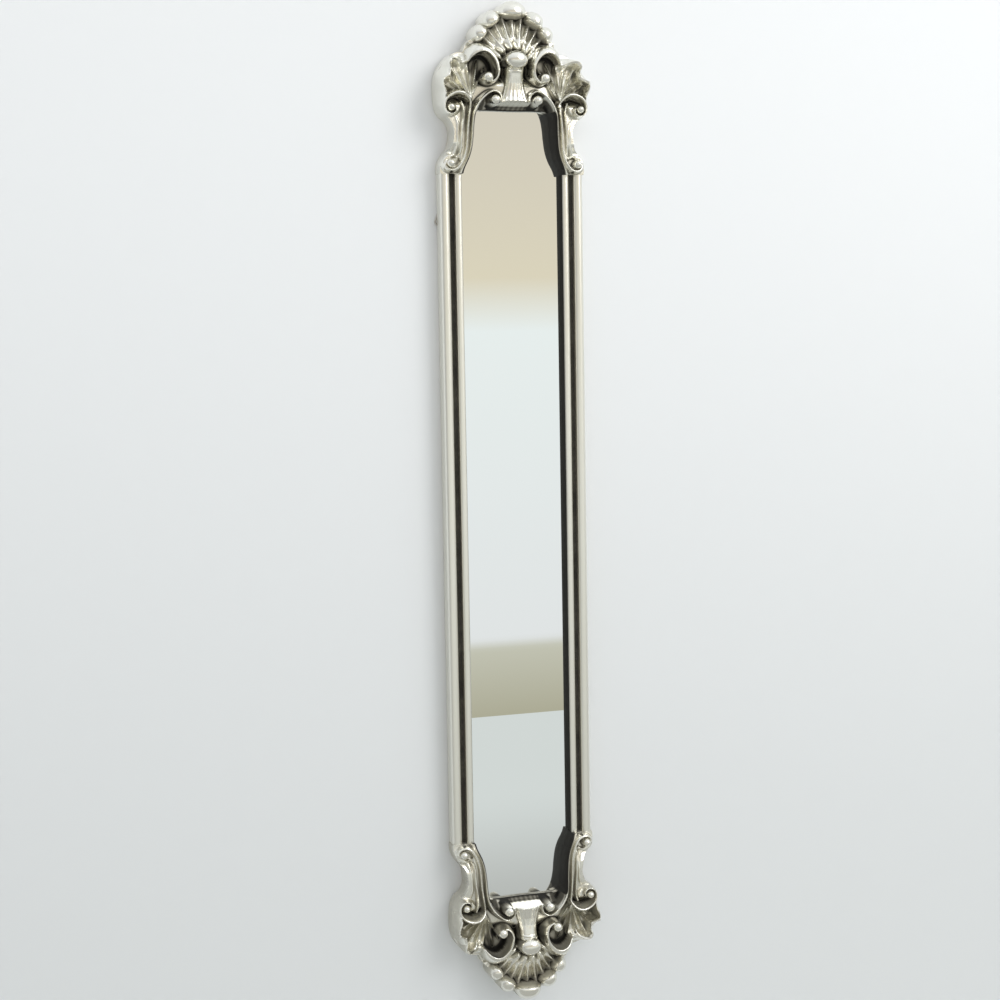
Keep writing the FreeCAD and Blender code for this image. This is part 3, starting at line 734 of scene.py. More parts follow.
def shell_height(u, w):
    """Fat petals behind the boss that part into flutes under the lobes."""
    radius = away(u, w, SHELL_ROOT)
    angle = np.degrees(np.arctan2(u - SHELL_ROOT[0], w - SHELL_ROOT[1]))
    turn = np.radians(angle * 180 / SHELL_FLUTE)
    petal = np.sqrt(np.clip(0.5 - 0.5 * np.cos(turn), 0, 1))
    flute = np.clip(0.5 + 0.5 * np.cos(2 * turn), 0, 1) ** 1.2
    out = ease(26, 44, radius)
    height = np.interp(radius, *SHELL_SWEEP)
    height += (petal - 0.5) * np.interp(radius, *SHELL_SWELL) * (1 - out)
    height += (flute - 0.5) * np.interp(radius, *SHELL_GROOVE) * out
    shoulder = 17.0 + 9.0 * ease(60, 30, radius)
    height += (shoulder - height) * ease(50, 58, angle) * ease(20, 34, radius)
    height -= 16.0 * ease(60, 72, angle)
    height -= 2.0 * bell((np.hypot(u / 13.6, (w - 130.4) / 10.4) - 1.1) / 0.12)
    return np.where(radius < SHELL_REACH, height, BELOW)


def fan_height(u, w, outer):
    """Scallops from the root to a wavy rim, and the smooth wall that falls away outside it."""
    edge = spline(FAN_EDGE) - (*FAN_ROOT, 0)
    turns = np.maximum.accumulate(np.degrees(np.arctan2(edge[:, 1], edge[:, 0])))
    turns = [FAN_START, 4, *turns, 100, FAN_END]
    radius = away(u, w, FAN_ROOT)
    angle = np.degrees(np.arctan2(w - FAN_ROOT[1], u - FAN_ROOT[0]))
    rim = np.interp(angle, turns, [30.5, 30.5, *np.hypot(edge[:, 0], edge[:, 1]), 54, 60])
    tip = np.interp(angle, turns, [31, 33, *edge[:, 2], 22, 22])
    share = radius / rim
    wave = np.cos(np.radians((angle - FAN_PHASE) * 360 / FAN_FLUTE))
    rib = np.clip(0.5 + 0.5 * wave, 0, 1) ** 2.4
    scoop = np.interp(share, *FAN_SCOOP) + (tip - FAN_FLOOR) * ease(0.82, 0.98, share)
    within = ease(84, 94, angle)
    bowl = scoop + (np.interp(share, *FAN_SUNK) - scoop) * within
    bowl += np.interp(share, *FAN_RIBS) * (rib - 0.35) - 20.0 * ease(15, 3, angle)
    beyond = np.clip(radius - rim, 0, None)
    fall = beyond / (beyond + outer + 0.01)
    wall = np.where(within > 0.5, BELOW, tip * np.sqrt(1 - fall ** 2))
    wall -= 20.0 * ease(-6, FAN_START, angle)
    height = np.where(share < 1, bowl, wall) - 12.0 * ease(108, FAN_END, angle)
    covered = (angle > FAN_START) & (angle < FAN_END) & (share < 1.6)
    return np.where(covered, height, BELOW)


def fan_rim(u, w):
    """The raised wavy edge of the fan."""
    edge = spline(FAN_EDGE)
    runs = np.linalg.norm(np.diff(edge[:, :2], axis=0), axis=1)
    spans = np.concatenate([[0], np.cumsum(runs)])
    tops = np.interp(np.linspace(0, spans[-1], 60), spans, edge[:, 2]) + 1.0
    line = np.array(FAN_EDGE)[:, :2]
    return ridge(u, w, line, tops, [2.2, 2.2], [2.6, 2.6], FAN_FLOOR)


def pedestal_share(u, w):
    return np.clip(u / np.interp(w, PEDESTAL_RISE, PEDESTAL_HALF), 0, 1)


def pedestal_flutes(share):
    """How deep in a flute a place lies, from its share of the stand's half width."""
    return 0.5 + 0.5 * np.cos(np.arcsin(share) * 22)


def pedestal_height(u, w):
    """A waisted stand with fine flutes, two fillets under the boss and a rolled foot."""
    share = pedestal_share(u, w)
    top = np.interp(w, PEDESTAL_RISE, PEDESTAL_TOP)
    profile = np.sqrt(np.clip(1 - share ** 2, 0, 1))
    height = RIDGE_FOOT + (top - RIDGE_FOOT) * profile ** 0.55
    height -= 0.6 * pedestal_flutes(share) * ease(112, 96, w) * ease(73, 76, w)
    height += 1.5 * profile * sum(part * bell((w - rise) / half) for rise, half, part in FILLETS)
    height = np.where((share < 1) & (w > 70) & (w < PEDESTAL_RISE[-1]), height, BELOW)
    skirt = 17.0 + 9.0 * bell(u / 26) - 16.0 * ease(100, 122, w) - 8.0 * ease(83, 75, w)
    return np.maximum(height, np.where(w < 124, skirt - 8.0 * ease(48, 58, u), BELOW))


def stem_ground(u, w):
    """Ground under the stems, higher within the volute and lower about the collar's curl."""
    ground = 22.0 + 2.5 * ease(84, 40, w) - 12.0 * ease(76, 90, w) - 12.0 * ease(50, 43, u)
    ground += 4.5 * ease(14.0, 10.0, away(u, w, VOLUTE_FLOOR))
    ground -= 5.0 * ease(7.0, 3.0, away(u, w, CURL_HOLLOW))
    round_curl = ease(8.5, 12.5, away(u, w, CURL_GROUND))
    return ground - 5.5 * round_curl * ease(65, 71, u) * ease(36, 24, w)


def edge_limits(u, w, outer, inner):
    """Highest places by the two edges: the outer cushion, the lip and the head's slope."""
    cushion = 12.0 + 26.0 * rounded(outer / 2.8)
    cushion = np.where(outer > 5, ABOVE, cushion + 4.0 * ease(2.8, 5, outer))
    lip = 18.0 + 8.0 * ease(60, 70, w)
    lip += (36.0 - lip) * rounded(inner / 3.2)
    lip = np.where(inner > 6, ABOVE, lip + 6.0 * ease(3.2, 6, inner))
    slope = np.interp(inner, *HEAD_SLOPE)
    slope += (ABOVE - slope) * np.maximum(ease(38, 44, u), ease(73, 70, w))
    return [(cushion, 1.4), (lip, 1.2), (slope, 1.0)]


def crest_height(u, w, outer, inner):
    """Height of the crest's front; outer and inner are the distances to its two edges."""
    forms = [shell_height(u, w), fan_height(u, w, outer), fan_rim(u, w)]
    forms += [ridge(u, w, *drawn) for drawn in RIDGES]
    forms += [pedestal_height(u, w)]
    height = smooth_max(np.full(u.shape, GROUND), stem_ground(u, w), 2.0)
    for form in forms:
        height = smooth_max(height, form, 0.9)
    for form in LOBES:
        height = smooth_max(height, lobe(u, w, form), 0.7)
    for limit, blend in edge_limits(u, w, outer, inner):
        height = smooth_min(height, limit, blend)
    for form in [BOSS] + BEADS:
        height = smooth_max(height, oval(u, w, form), 0.7)
    return height * np.interp(w, *STANDING)


def blurred(field, reach):
    """A field softened by a bell of the given reach in cells."""
    span = int(3 * reach)
    weights = np.exp(-0.5 * (np.arange(-span, span + 1) / reach) ** 2)
    weights /= weights.sum()
    for axis in (0, 1):
        widths = [(span, span) if axis == k else (0, 0) for k in (0, 1)]
        padded = np.pad(field, widths, mode="edge")
        field = np.apply_along_axis(np.convolve, axis, padded, weights, "valid")
    return field


def crest_grid(step):
    """Places on the right half of the crest, distances to its edges, its cells and points."""
    edge = np.vstack([spline(run) for run in EDGE_RUNS])
    apart = np.linalg.norm(np.diff(edge, axis=0), axis=1) > 1e-6
    edge = edge[np.concatenate([[True], apart])]
    sight = spline(SIGHT_RUN)
    columns = int(CREST_WIDTH / step) + 2
    rows = int(CREST_RISE / step) + 2
    w, u = np.meshgrid(np.arange(rows) * step, np.arange(columns) * step, indexing="ij")
    outer, _, _, outer_foot = nearest(u, w, edge)
    inner, _, _, inner_foot = nearest(u, w, sight)
    within = inside(u, w, np.vstack([edge, sight[::-1]]))
    core = within & (np.minimum(outer, inner) > 0.3 * step)
    cells = core[:-1, :-1] | core[1:, :-1] | core[:-1, 1:] | core[1:, 1:]
    used = np.zeros(core.shape, bool)
    for row in (0, 1):
        for column in (0, 1):
            used[row:rows - 1 + row, column:columns - 1 + column] |= cells
    # Points beside the edge move onto it.
    rim = used & ~core
    foot = np.where((outer < inner)[..., None], outer_foot, inner_foot)
    u[rim] = foot[rim][:, 0]
    w[rim] = foot[rim][:, 1]
    u[:, 0] = 0.0
    w[0, :] = 0.0
    by_outer = outer < inner
    outer[rim & by_outer] = 0.0
    inner[rim & ~by_outer] = 0.0
    return u, w, outer, inner, cells, used


def crest_patina_and_shade(u, w, height, outer, inner, step):
    """Patina of the crest's front, by hollows, creases and the forms that hold it, and painted
    shade on the reveal, in the head's corner and under the lobes.
    """
    hollow = blurred(height, 3.2 / step) - height
    crease = blurred(height, 1.1 / step) - height
    patina_and_shade = np.clip(hollow / 6.0, -0.4, 0.9) + np.clip(crease / 1.9, -0.3, 0.6)
    patina_and_shade += 0.5 * ease(20.0, 15.5, height) * ease(4.0, 9.0, outer)
    patina_and_shade *= ease(0.5, 7.0, outer) * (1 - 0.3 * ease(58, 66, u) * ease(84, 94, w))
    # Painted shade on the reveal beside the glass, over its patina.
    reveal = ease(3.2, 1.6, inner) * ease(76.0, 70.0, w)
    patina_and_shade = np.maximum(patina_and_shade, REVEAL_PATINA_AND_SHADE * reveal)
    # Painted shade in the corner hollow at the head of the opening, over its patina.
    corner = ease(30.0, 36.0, u) * ease(50.0, 46.0, u) * ease(66.0, 70.0, w)
    corner *= ease(96.0, 88.0, w) * ease(14.0, 10.0, inner) * ease(36.0, 31.0, height)
    patina_and_shade = np.maximum(patina_and_shade, 1.5 * corner)
    patina_and_shade += 0.4 * ease(17.0, 12.0, away(u, w, SCROLL_HOLLOW)) * ease(31.0, 24.0, height)
    foot = ease(87.0, 81.0, w) * ease(23.0, 20.0, u)
    patina_and_shade += foot * (0.28 + 0.22 * pedestal_flutes(pedestal_share(u, w)))
    # Painted shadow under the lips of the lobes.
    return np.maximum(patina_and_shade, 0.95 * lobe_shade(u, w))


def crest_mesh(step):
    """The top crest as one closed mesh with its rebate, in metres."""
    u, w, outer, inner, cells, used = crest_grid(step)
    height = np.full(u.shape, GROUND - 1.0)
    height[used] = crest_height(u[used], w[used], outer[used], inner[used])
    patina_and_shade = crest_patina_and_shade(u, w, height, outer, inner, step)
    mesh = bmesh.new()
    layer = mesh.verts.layers.float.new("patina_and_shade")
    axis_verts = {}
    for sign in (1, -1):
        verts = {}
        for row, column in zip(*np.nonzero(used)):
            if sign < 0 and column == 0:
                verts[row, column] = axis_verts[row]
                continue
            vert = mesh.verts.new((
                sign * u[row, column] * MM, BACK_Y - height[row, column] * MM,
                RAIL_END + w[row, column] * MM))
            vert[layer] = patina_and_shade[row, column]
            verts[row, column] = vert
            if column == 0:
                axis_verts[row] = vert
        for row, column in zip(*np.nonzero(cells)):
            corners = [(row, column), (row, column + 1), (row + 1, column + 1), (row + 1, column)]
            mesh.faces.new([verts[corner] for corner in corners[::sign]])
    bmesh.ops.remove_doubles(mesh, verts=mesh.verts, dist=0.02 * MM)
    bmesh.ops.dissolve_degenerate(mesh, edges=mesh.edges, dist=0.005 * MM)
    close_crest(mesh, layer)
    mesh.normal_update()
    bmesh.ops.triangulate(mesh, faces=[face for face in mesh.faces if len(face.verts) > 4])
    bmesh.ops.recalc_face_normals(mesh, faces=mesh.faces)
    data = bpy.data.meshes.new("crest")
    mesh.to_mesh(data)
    mesh.free()
    return data


def rim_loop(mesh):
    """Vertices round the open rim of a mesh, in order."""
    after = {}
    for edge in mesh.edges:
        if edge.is_boundary:
            first = edge.link_loops[0].vert
            after[first] = edge.other_vert(first)
    loop = [next(iter(after))]
    while after[loop[-1]] is not loop[0]:
        loop.append(after[loop[-1]])
    return loop


def close_crest(mesh, layer):
    """Side walls, the rebate for the glass and the flat back."""
    half = GLASS_HIGH.x + PANE_CLEARANCE
    ceiling = GLASS_HIGH.z + PANE_CLEARANCE
    loop = rim_loop(mesh)

    def new(point, dark):
        vert = mesh.verts.new(point)
        vert[layer] = dark
        return vert

    rings = [loop, [], [], []]
    for vert in loop:
        x, y, z = vert.co
        rebated = abs(x) < half - 1e-6 and z < ceiling
        # Painted shade on the walls of the rebate and a painted shadow line at the glass seat,
        # over their patina.
        reveal = REVEAL_PATINA_AND_SHADE * float(ease(75.0, 71.0, (z - RAIL_END) / MM))
        shade = reveal if rebated else SIDE_PATINA
        foot = SEAT_Y if rebated else BACK_Y
        rings[1].append(new((x, y + WALL_TOP_BAND * MM, z), shade))
        rings[2].append(new((x, foot - WALL_FOOT_BAND * MM, z), shade))
        rings[3].append(new((x, foot, z), SEAT_PATINA_AND_SHADE if rebated else BACK_PATINA))
    for upper, lower in zip(rings, rings[1:]):
        for i in range(len(loop)):
            j = (i + 1) % len(loop)
            mesh.faces.new([upper[j], upper[i], lower[i], lower[j]])
    low = rings[3]
    seated = [abs(vert.co.y - SEAT_Y) < 1e-7 for vert in low]
    first = next(i for i in range(len(low)) if seated[i] and not seated[i - 1])
    order = [(first + i) % len(low) for i in range(len(low))]
    seat = [low[i] for i in order if seated[i]]
    back = [low[i] for i in order if not seated[i]]
    begin = half if seat[0].co.x > 0 else -half
    back_near, back_far, seat_near, seat_far = [
        new((x, y, ceiling), BACK_PATINA) for y in (BACK_Y, SEAT_Y) for x in (begin, -begin)]
    mesh.faces.new(seat + [seat_far, seat_near])
    mesh.faces.new(back + [back_near, back_far])
    mesh.faces.new([back_near, seat_near, seat_far, back_far])
    mesh.faces.new([back[-1], seat[0], seat_near, back_near])
    mesh.faces.new([seat[-1], back[0], back_far, seat_far])


def age_and_shade(mesh, amount):
    """More patina and painted shade on a crest, most of it on the steep sides."""
    values = np.empty(len(mesh.vertices))
    normals = np.empty(len(mesh.vertices) * 3)
    layer = mesh.attributes["patina_and_shade"].data
    layer.foreach_get("value", values)
    mesh.vertices.foreach_get("normal", normals)
    steep = ease(0.4, 0.9, 1 - np.abs(normals[1::3]))
    layer.foreach_set("value", values + amount * (0.2 + steep) * ease(0.8, 0.1, values))


# Rails


def arc(centre, radius, start, end, count):
    angles = np.radians(np.linspace(start, end, count))
    return [(centre[0] + radius * math.cos(a), centre[1] + radius * math.sin(a)) for a in angles]


def rail_section():
    """Closed section of the right rail: bead, groove, roll, side, back, rebate and reveal."""
    low, high, floor = GROOVE
    section = BEAD_SHOULDER + arc(BEAD_CENTRE, BEAD_RADIUS, 90, 0, 10)
    section += [(low, floor + 1.2), (low + 0.4, floor + 0.4), (low + 1.2, floor)]
    section += [(high - 1.2, floor), (high - 0.4, floor + 0.4), (high, floor + 1.2)]
    section += arc(ROLL_CENTRE, ROLL_RADIUS, 180, 0, 21)
    section += [(RAIL_SIDE, height) for height in (9.0, 5.0, 0.8)] + [(RAIL_SIDE - 0.8, 0.0)]
    section += [(RAIL_REBATE, 0.0), (RAIL_REBATE, SEAT_HEIGHT)]
    section += [(RAIL_LIP, height) for height in (SEAT_HEIGHT, 8.0, 11.0)]
    return [(across * MM, BACK_Y - height * MM, 0.0) for across, height in section]


def rail_tree():
    """Sweep a closed section along the rail's length."""
    graph, (geometry, length, material) = geometry_tree("rail_run", "Length")
    section = graph.add("GeometryNodeMeshToCurve", {"Mesh": geometry})
    foot = graph.add("ShaderNodeCombineXYZ", {"Z": length * -0.5})
    head = graph.add("ShaderNodeCombineXYZ", {"Z": length * 0.5})
    run = graph.add("GeometryNodeCurvePrimitiveLine", {"Start": foot, "End": head})
    steps = graph.add("GeometryNodeResampleCurve", {"Curve": run, "Count": 41})
    swept = graph.add("GeometryNodeCurveToMesh", {
        "Curve": steps, "Profile Curve": section, "Fill Caps": True})
    return close_tree(graph, swept, material)


def rail_patina_and_shade(mesh):
    """Dark groove and reveal, patina with painted shade, bright rounds, dull back."""
    places = np.empty(len(mesh.vertices) * 3)
    mesh.vertices.foreach_get("co", places)
    across = places[0::3] / MM
    height = (BACK_Y - places[1::3]) / MM
    groove = ease(70.4, 71.4, across) * ease(77.8, 76.8, across) * ease(13.6, 12.4, height)
    reveal = ease(63.4, 62.7, across) * ease(16.9, 15.9, height)
    back = ease(0.6, 0.2, height)
    store(mesh, "patina_and_shade", np.max(
        [groove * GROOVE_PATINA_AND_SHADE, reveal * REVEAL_PATINA_AND_SHADE, back * RAIL_BACK_PATINA], axis=0))


# Fittings


def scatter_tree():
    """Stand a copy of one piece on every point, turned about Y by the point's own angle."""
    graph, (points, piece, material) = geometry_tree("scatter", "Piece", "NodeSocketObject")
    model = graph.add("GeometryNodeObjectInfo", {"Object": piece, "As Instance": True}, "Geometry")
    angle = graph.add("GeometryNodeInputNamedAttribute", {"Name": "turn"}, data_type="FLOAT")
    turn = graph.add("ShaderNodeCombineXYZ", {"Y": angle})
    copies = graph.add("GeometryNodeInstanceOnPoints", {
        "Points": points, "Instance": model, "Rotation": turn})
    return close_tree(graph, copies, material)


def scattered(name, piece, places, seat, material):
    """One mesh of a piece set at places on the back, each with its own turn."""
    points = mesh_from(name, [(x * MM, seat, z * MM) for x, z in places], [])
    store(points, "turn", [0.7 * k * k + 0.4 * k for k in range(len(places))])
    model = linked(f"{name}_piece", piece)
    mesh = baked(scatter_tree(), points, Piece=model, Material=material)
    bpy.data.objects.remove(model)
    return mesh


def recess_arm(across, along):
    return float(ease(0.75, 0.45, across) * ease(2.1, 1.6, along))


def screw_head():
    """A pan head with a cross recess on its shank, bearing at y = 0."""
    mesh = turned("pan_head", SCREW_SHANK + SCREW_DOME, 48)
    for vert in mesh.vertices:
        if vert.co.y > 1.2 * MM:
            x, z = abs(vert.co.x) / MM, abs(vert.co.z) / MM
            vert.co.y -= RECESS_DEPTH * MM * max(recess_arm(x, z), recess_arm(z, x))
    return mesh


def bumper_pad():
    """A rubber pad with a rounded front and a shallow dish, standing from y = 0."""
    centre = (BUMPER_RADIUS - BUMPER_ROUND, BUMPER_HEIGHT - BUMPER_ROUND)
    profile = [(BUMPER_RADIUS - 0.3, 0.0), (BUMPER_RADIUS, 0.4)]
    profile += arc(centre, BUMPER_ROUND, 0, 90, 7)
    profile += [(1.6, BUMPER_HEIGHT), (0.9, BUMPER_HEIGHT - 0.5)]
    return turned("bumper_pad", profile, 40)


def ring_tree():
    """Bend a wire along a closed line, rounding each corner by its own radius."""
    graph, (geometry, wire, material) = geometry_tree("ring_wire", "Wire")
    line = graph.add("GeometryNodeMeshToCurve", {"Mesh": geometry})
    bend = graph.add("GeometryNodeInputNamedAttribute", {"Name": "bend"}, data_type="FLOAT")
    bent = graph.add("GeometryNodeFilletCurve", {
        "Curve": line, "Count": 12, "Radius": bend}, mode="POLY")
    section = graph.add("GeometryNodeCurvePrimitiveCircle", {
        "Resolution": 18, "Radius": wire * 0.5})
    swept = graph.add("GeometryNodeCurveToMesh", {"Curve": bent, "Profile Curve": section})
    return close_tree(graph, swept, material)


def ring_mesh(node, material):
    """The triangular ring in its packed place."""
    low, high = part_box(node)
    wire = high.y - low.y
    middle = (low + high) / 2
    foot = low.z + wire / 2
    line = closed_line(node, [
        (middle.x - RING_HALF * MM, middle.y, foot),
        (middle.x + RING_HALF * MM, middle.y, foot),
        (middle.x, middle.y, foot + RING_RISE * MM),
    ])
    store(line, "bend", [bend * MM for bend in RING_BENDS])
    return baked(ring_tree(), line, Wire=wire, Material=material)


def strap_mesh(node):
    """A strip with rounded lower corners, rolled into an eye at its top."""
    low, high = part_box(node)
    middle = (low.x + high.x) / 2
    half = (high.x - low.x) / 2
    thick = STRAP_THICKNESS * MM
    eye = Vector((0, high.y - EYE_INSET * MM, high.z - EYE_INSET * MM))
    rise = eye.z - low.z
    line = [(Vector((0, BACK_Y + thick / 2, low.z + share * rise)), Vector((0, -1, 0)))
            for share in (*np.linspace(0, 0.1, 9), *np.linspace(0.15, 0.97, 12))]
    for angle in np.radians(np.linspace(180, -116, 40)):
        out = Vector((0, math.cos(angle), math.sin(angle)))
        line.append((eye + out * EYE_RADIUS * MM, out))
    columns = np.linspace(-1, 1, 9)
    rings = []
    for place, out in line:
        reach = min((place.z - low.z) / (STRAP_CORNER * MM), 1.0)
        width = half - STRAP_CORNER * MM * (1 - math.sqrt(1 - (1 - reach) ** 2))
        rings.append([
            place + out * side * thick / 2 + Vector((middle + column * width, 0, 0))
            for side in (1, -1) for column in columns[::-side]])
    return skinned(node, rings)


# Settings and operators


class CrestSettings(bpy.types.PropertyGroup):
    step: FloatProperty(
        name="Cell", description="Width of a cell of the crest's relief", default=66.5 / 136 * MM,
        min=0.0003, max=0.003, precision=6, subtype="DISTANCE")


def colour(name, description, default):
    return FloatVectorProperty(
        name=name, description=description, default=default, size=3, subtype="COLOR")


class LookSettings(bpy.types.PropertyGroup):
    silver: colour("Silver", "Polished silver", (0.86, 0.85, 0.78))
    tarnish: colour("Tarnish", "Warm film between polish and patina", (0.52, 0.49, 0.40))
    # This colour also tints the painted shade in the reveals, grooves and under the lobes.
    patina_and_shade: colour("Patina", "Dark patina in the hollows", (0.20, 0.185, 0.145))
    glass: colour("Glass", "Tint of the silvered glass", (0.92, 0.945, 0.945))
    board: colour("Board", "Fibreboard behind the glass", (0.30, 0.19, 0.115))
    steel: colour("Steel", "Plated fittings on the back", (0.66, 0.65, 0.62))
    rubber: colour("Rubber", "Wall bumpers", (0.02, 0.02, 0.02))


class MirrorSettings(bpy.types.PropertyGroup):
    crest: PointerProperty(type=CrestSettings)
    look: PointerProperty(type=LookSettings)


class MIRROR_OT_crests(bpy.types.Operator):
    """Model the two cast crests"""

    bl_idname = "wall_mirror.crests"
    bl_label = "Crests"

    def execute(self, context):
        settings = context.scene.wall_mirror
        material = silver_finish("antique_silver", settings.look, CREST_SATIN)
        top = crest_mesh(settings.crest.step / MM)
        bottom = top.copy()
        bottom.transform(TURN_OVER)
        for end, mesh in (("top", top), ("bottom", bottom)):
            # The bottom crest gets more: painted shade of the weaker light from below.
            age_and_shade(mesh, CREST_AGE_AND_SHADE[end])
            finished(f"{end}_crest_casting", mesh, material, f"{end}_crest",
                     angle=50)
        return {"FINISHED"}


class MIRROR_OT_rails(bpy.types.Operator):
    """Sweep the two moulded rails"""

    bl_idname = "wall_mirror.rails"
    bl_label = "Rails"

    def execute(self, context):
        look = context.scene.wall_mirror.look
        material = silver_finish("moulding_silver", look, RAIL_SATIN)
        section = closed_line("rail_section", rail_section())
        right = baked(rail_tree(), section, Length=2 * RAIL_END, Material=material)
        rail_patina_and_shade(right)
        left = right.copy()
        left.transform(MIRROR_X)
        left.flip_normals()
        finished("right_rail_moulding", right, material, "right_rail")
        finished("left_rail_moulding", left, material, "left_rail")
        return {"FINISHED"}


class MIRROR_OT_panes(bpy.types.Operator):
    """Finish the glass and its board"""

    bl_idname = "wall_mirror.panes"
    bl_label = "Glass and Board"

    def execute(self, context):
        look = context.scene.wall_mirror.look
        dress("mirror_glass", mirror_finish(look))
        dress("backing_board", board_finish(look))
        return {"FINISHED"}


class MIRROR_OT_hangers(bpy.types.Operator):
    """Bend the rings, roll the straps and set their screws"""

    bl_idname = "wall_mirror.hangers"
    bl_label = "Hangers"

    def execute(self, context):
        look = context.scene.wall_mirror.look
        plate = steel_finish("strap_steel", look)
        wire = steel_finish("ring_steel", look)
        screw = steel_finish("screw_steel", look)
        for side in ("left", "right"):
            strap = f"{side}_hanger_strap"
            ring = f"{side}_hanger_ring"
            finished(f"{strap}_piece", strap_mesh(strap), plate, strap)
            finished(f"{ring}_piece", ring_mesh(ring, wire), wire, ring,
                     body=f"{side}_ring")
        seat = BACK_Y + STRAP_THICKNESS * MM
        heads = scattered("hanger_screw_heads", screw_head(), HANGER_SCREWS, seat, screw)
        finished("hanger_screw_heads", heads, screw, "hanger_screws", angle=30)
        return {"FINISHED"}


class MIRROR_OT_fastenings(bpy.types.Operator):
    """Finish the turn buttons, set their screws, the bumpers and the dowels"""

    bl_idname = "wall_mirror.fastenings"
    bl_label = "Fastenings"

    def execute(self, context):
        look = context.scene.wall_mirror.look
        blade = steel_finish("button_steel", look)
        screw = steel_finish("button_screw_steel", look)
        rubber = rubber_finish(look)
        for node in BUTTONS:
            dress(node, blade)
        dress("frame_dowels", steel_finish("dowel_steel", look))
        seat = BACK_Y + BUTTON_THICKNESS * MM
        heads = scattered("button_screw_heads", screw_head(), BUTTON_SCREWS, seat, screw)
        finished("button_screw_heads", heads, screw, "turn_button_screws", angle=30)
        pads = scattered("bumper_pads", bumper_pad(), BUMPERS, BACK_Y, rubber)
        finished("bumper_pads", pads, rubber, "wall_bumpers")
        return {"FINISHED"}


class MIRROR_OT_stage(bpy.types.Operator):
    """Set up the wall, the floor, the light and the camera"""

    bl_idname = "wall_mirror.stage"
    bl_label = "Stage"

    def execute(self, context):
        scene = context.scene
        scene.view_settings.view_transform = "Standard"
        aim_camera(scene)
        build_room()
        light_room(scene)
        return {"FINISHED"}


# Stage


def aim_camera(scene):
    """The camera of the photograph: yaw to the right, pitch down, roll."""
    data = bpy.data.cameras.new("photo_camera")
    data.lens = FOCAL_SHARE * data.sensor_width
    yaw, pitch, roll = (math.radians(turn) for turn in CAMERA_TURN)
    ahead = Vector((math.sin(yaw) * math.cos(pitch), math.cos(yaw) * math.cos(pitch),
                    -math.sin(pitch)))
    side = Vector((math.cos(yaw), -math.sin(yaw), 0))
    above = side.cross(ahead)
    right = side * math.cos(roll) + above * math.sin(roll)
    up = above * math.cos(roll) - side * math.sin(roll)
    matrix = Matrix((right, up, -ahead)).transposed().to_4x4()
    matrix.translation = Vector(CAMERA_PLACE)
    scene.camera = linked("photo_camera", data)
    scene.camera.matrix_world = matrix


def upright(half, y, low, high):
    return [(-half, y, low), (half, y, low), (half, y, high), (-half, y, high)]


def level(half, front, back, z):
    return [(-half, front, z), (half, front, z), (half, back, z), (-half, back, z)]


def stage_card(name, corners, material, **seen):
    """A flat card of the stage that some rays may miss."""
    card = linked(name, mesh_from(name, corners, [(0, 1, 2, 3)]))
    coat(card.data, material)
    for ray, shown in seen.items():
        setattr(card, f"visible_{ray}", shown)


def plain(name, axis, span, first, second):
    """A matt stage colour that changes slowly along one axis."""
    finish = Finish(name, Roughness=0.8, Specular_IOR_Level=0.2)
    share = finish.axis(axis).eased(*span)
    finish.set(Base_Color=finish.mix(share, rgba(first), rgba(second)))
    return finish.material


def one_sided(material):
    """Let a stage card be seen from its front alone."""
    graph = Graph(material.node_tree)
    nodes = graph.tree.nodes
    behind = graph.add("ShaderNodeNewGeometry", out="Backfacing")
    clear = graph.add("ShaderNodeBsdfTransparent")
    front = Wire(graph, nodes["Principled BSDF"].outputs[0])
    mixed = graph.add("ShaderNodeMixShader", {0: behind, 1: front, 2: clear})
    graph.feed(nodes["Material Output"].inputs["Surface"], mixed)
    return material


def glowing(name):
    return Finish(name, Base_Color=(0, 0, 0, 1), Specular_IOR_Level=0.0, Emission_Strength=1.0)


def room_glow():
    """What the glass looks at: a pale room that darkens above and in a band over the floor."""
    finish = glowing("stage_room")
    bands = finish.ramp((finish.axis("Z") - ROOM_LOW) / (ROOM_HIGH - ROOM_LOW), ROOM_BANDS)
    side = finish.axis("X").eased(-10.0, -2.0)
    finish.set(Emission_Color=finish.mix(side, (0.40, 0.39, 0.37, 1), bands))
    return finish.material


def floor_glow():
    """The floor as the metal and the glass see it, darker towards the wall."""
    finish = glowing("stage_near_floor")
    share = finish.axis("Y").eased(-2.0, -3.4)
    finish.set(Emission_Color=finish.mix(share, (0.47, 0.475, 0.453, 1), (0.69, 0.72, 0.70, 1)))
    return finish.material


def build_room():
    """Wall, floor and the two cards that reflections alone see."""
    # Painted shade: the wall is coloured darker towards the bottom, where less light falls.
    wall = plain("stage_wall", "Z", (-0.75, 0.75), (0.67, 0.68, 0.675), (0.88, 0.885, 0.885))
    stage_card("stage_wall", upright(4, WALL_Y, FLOOR_Z, 3), one_sided(wall),
               diffuse=False, shadow=False)
    floor = plain("stage_floor", "Y", (-8.0, 8.0), (0.74, 0.76, 0.74), (0.78, 0.80, 0.78))
    stage_card("stage_floor", level(6, -8, 8, FLOOR_Z), floor)
    near = level(6, ROOM_Y, -0.01, FLOOR_Z + 0.004)
    stage_card("stage_near_floor", near, floor_glow(), **REFLECTED_ONLY)
    facing = upright(-14, ROOM_Y, ROOM_LOW, ROOM_HIGH)
    stage_card("stage_room", facing, room_glow(), **REFLECTED_ONLY)


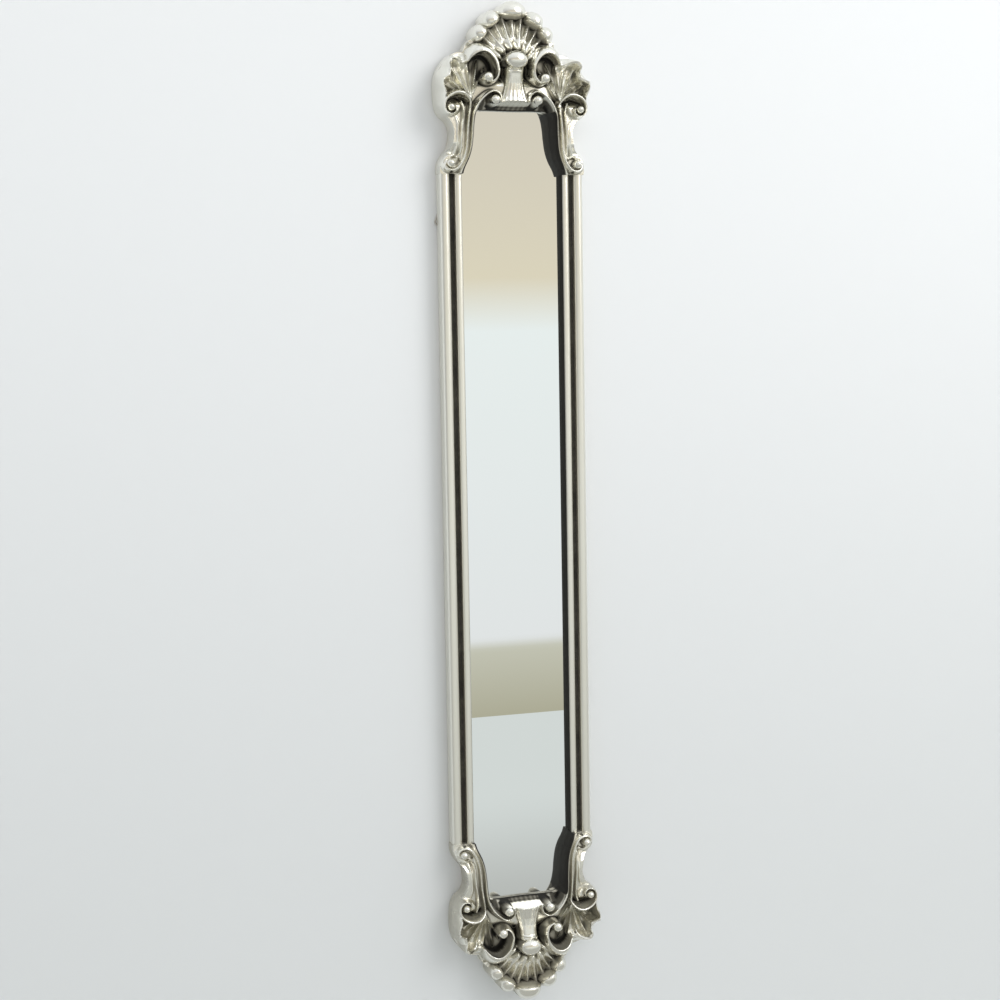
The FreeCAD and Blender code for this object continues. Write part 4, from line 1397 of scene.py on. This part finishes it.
def light_room(scene):
    """Pale light from all round, stronger from above and from the right, and two lamps."""
    world = bpy.data.worlds.new("stage_world")
    world.use_nodes = True
    scene.world = world
    graph = Graph(world.node_tree)
    way = graph.add("ShaderNodeTexCoord", out="Generated")
    right = graph.add("ShaderNodeSeparateXYZ", {"Vector": way}, "X")
    up = graph.add("ShaderNodeSeparateXYZ", {"Vector": way}, "Z")
    background = world.node_tree.nodes["Background"]
    graph.feed(background.inputs["Color"], (0.96, 0.98, 1.0, 1))
    graph.feed(background.inputs["Strength"],
               right.eased(-0.9, 0.8) * 0.26 + up.eased(-0.3, 0.9) * 0.50 + 0.40)
    for name, place, target, size, power in LAMPS:
        data = bpy.data.lights.new(name, "AREA")
        data.shape = "RECTANGLE"
        data.size, data.size_y = size
        data.energy = power
        lamp = linked(name, data)
        lamp.location = place
        towards = Vector(target) - Vector(place)
        lamp.rotation_euler = towards.to_track_quat("-Z", "Y").to_euler()


class MIRROR_PT_panel(bpy.types.Panel):
    """Sizes, colours and steps of the wall mirror"""

    bl_idname = "MIRROR_PT_panel"
    bl_label = "Wall Mirror"
    bl_space_type = "VIEW_3D"
    bl_region_type = "UI"
    bl_category = "Wall Mirror"

    def draw(self, context):
        settings = context.scene.wall_mirror
        for group in (settings.crest, settings.look):
            column = self.layout.column()
            for name in group.__annotations__:
                column.prop(group, name)
        for step in STEPS:
            self.layout.operator(step.bl_idname)


STEPS = (MIRROR_OT_crests, MIRROR_OT_rails, MIRROR_OT_panes, MIRROR_OT_hangers,
         MIRROR_OT_fastenings, MIRROR_OT_stage)
CLASSES = (CrestSettings, LookSettings, MirrorSettings, *STEPS, MIRROR_PT_panel)


def register():
    for item in CLASSES:
        bpy.utils.register_class(item)
    bpy.types.Scene.wall_mirror = PointerProperty(type=MirrorSettings)


def unregister():
    del bpy.types.Scene.wall_mirror
    for item in reversed(CLASSES):
        bpy.utils.unregister_class(item)


def main():
    register()
    bpy.ops.wall_mirror.crests()
    bpy.ops.wall_mirror.rails()
    bpy.ops.wall_mirror.panes()
    bpy.ops.wall_mirror.hangers()
    bpy.ops.wall_mirror.fastenings()
    bpy.ops.wall_mirror.stage()


if __name__ == "__main__":
    main()
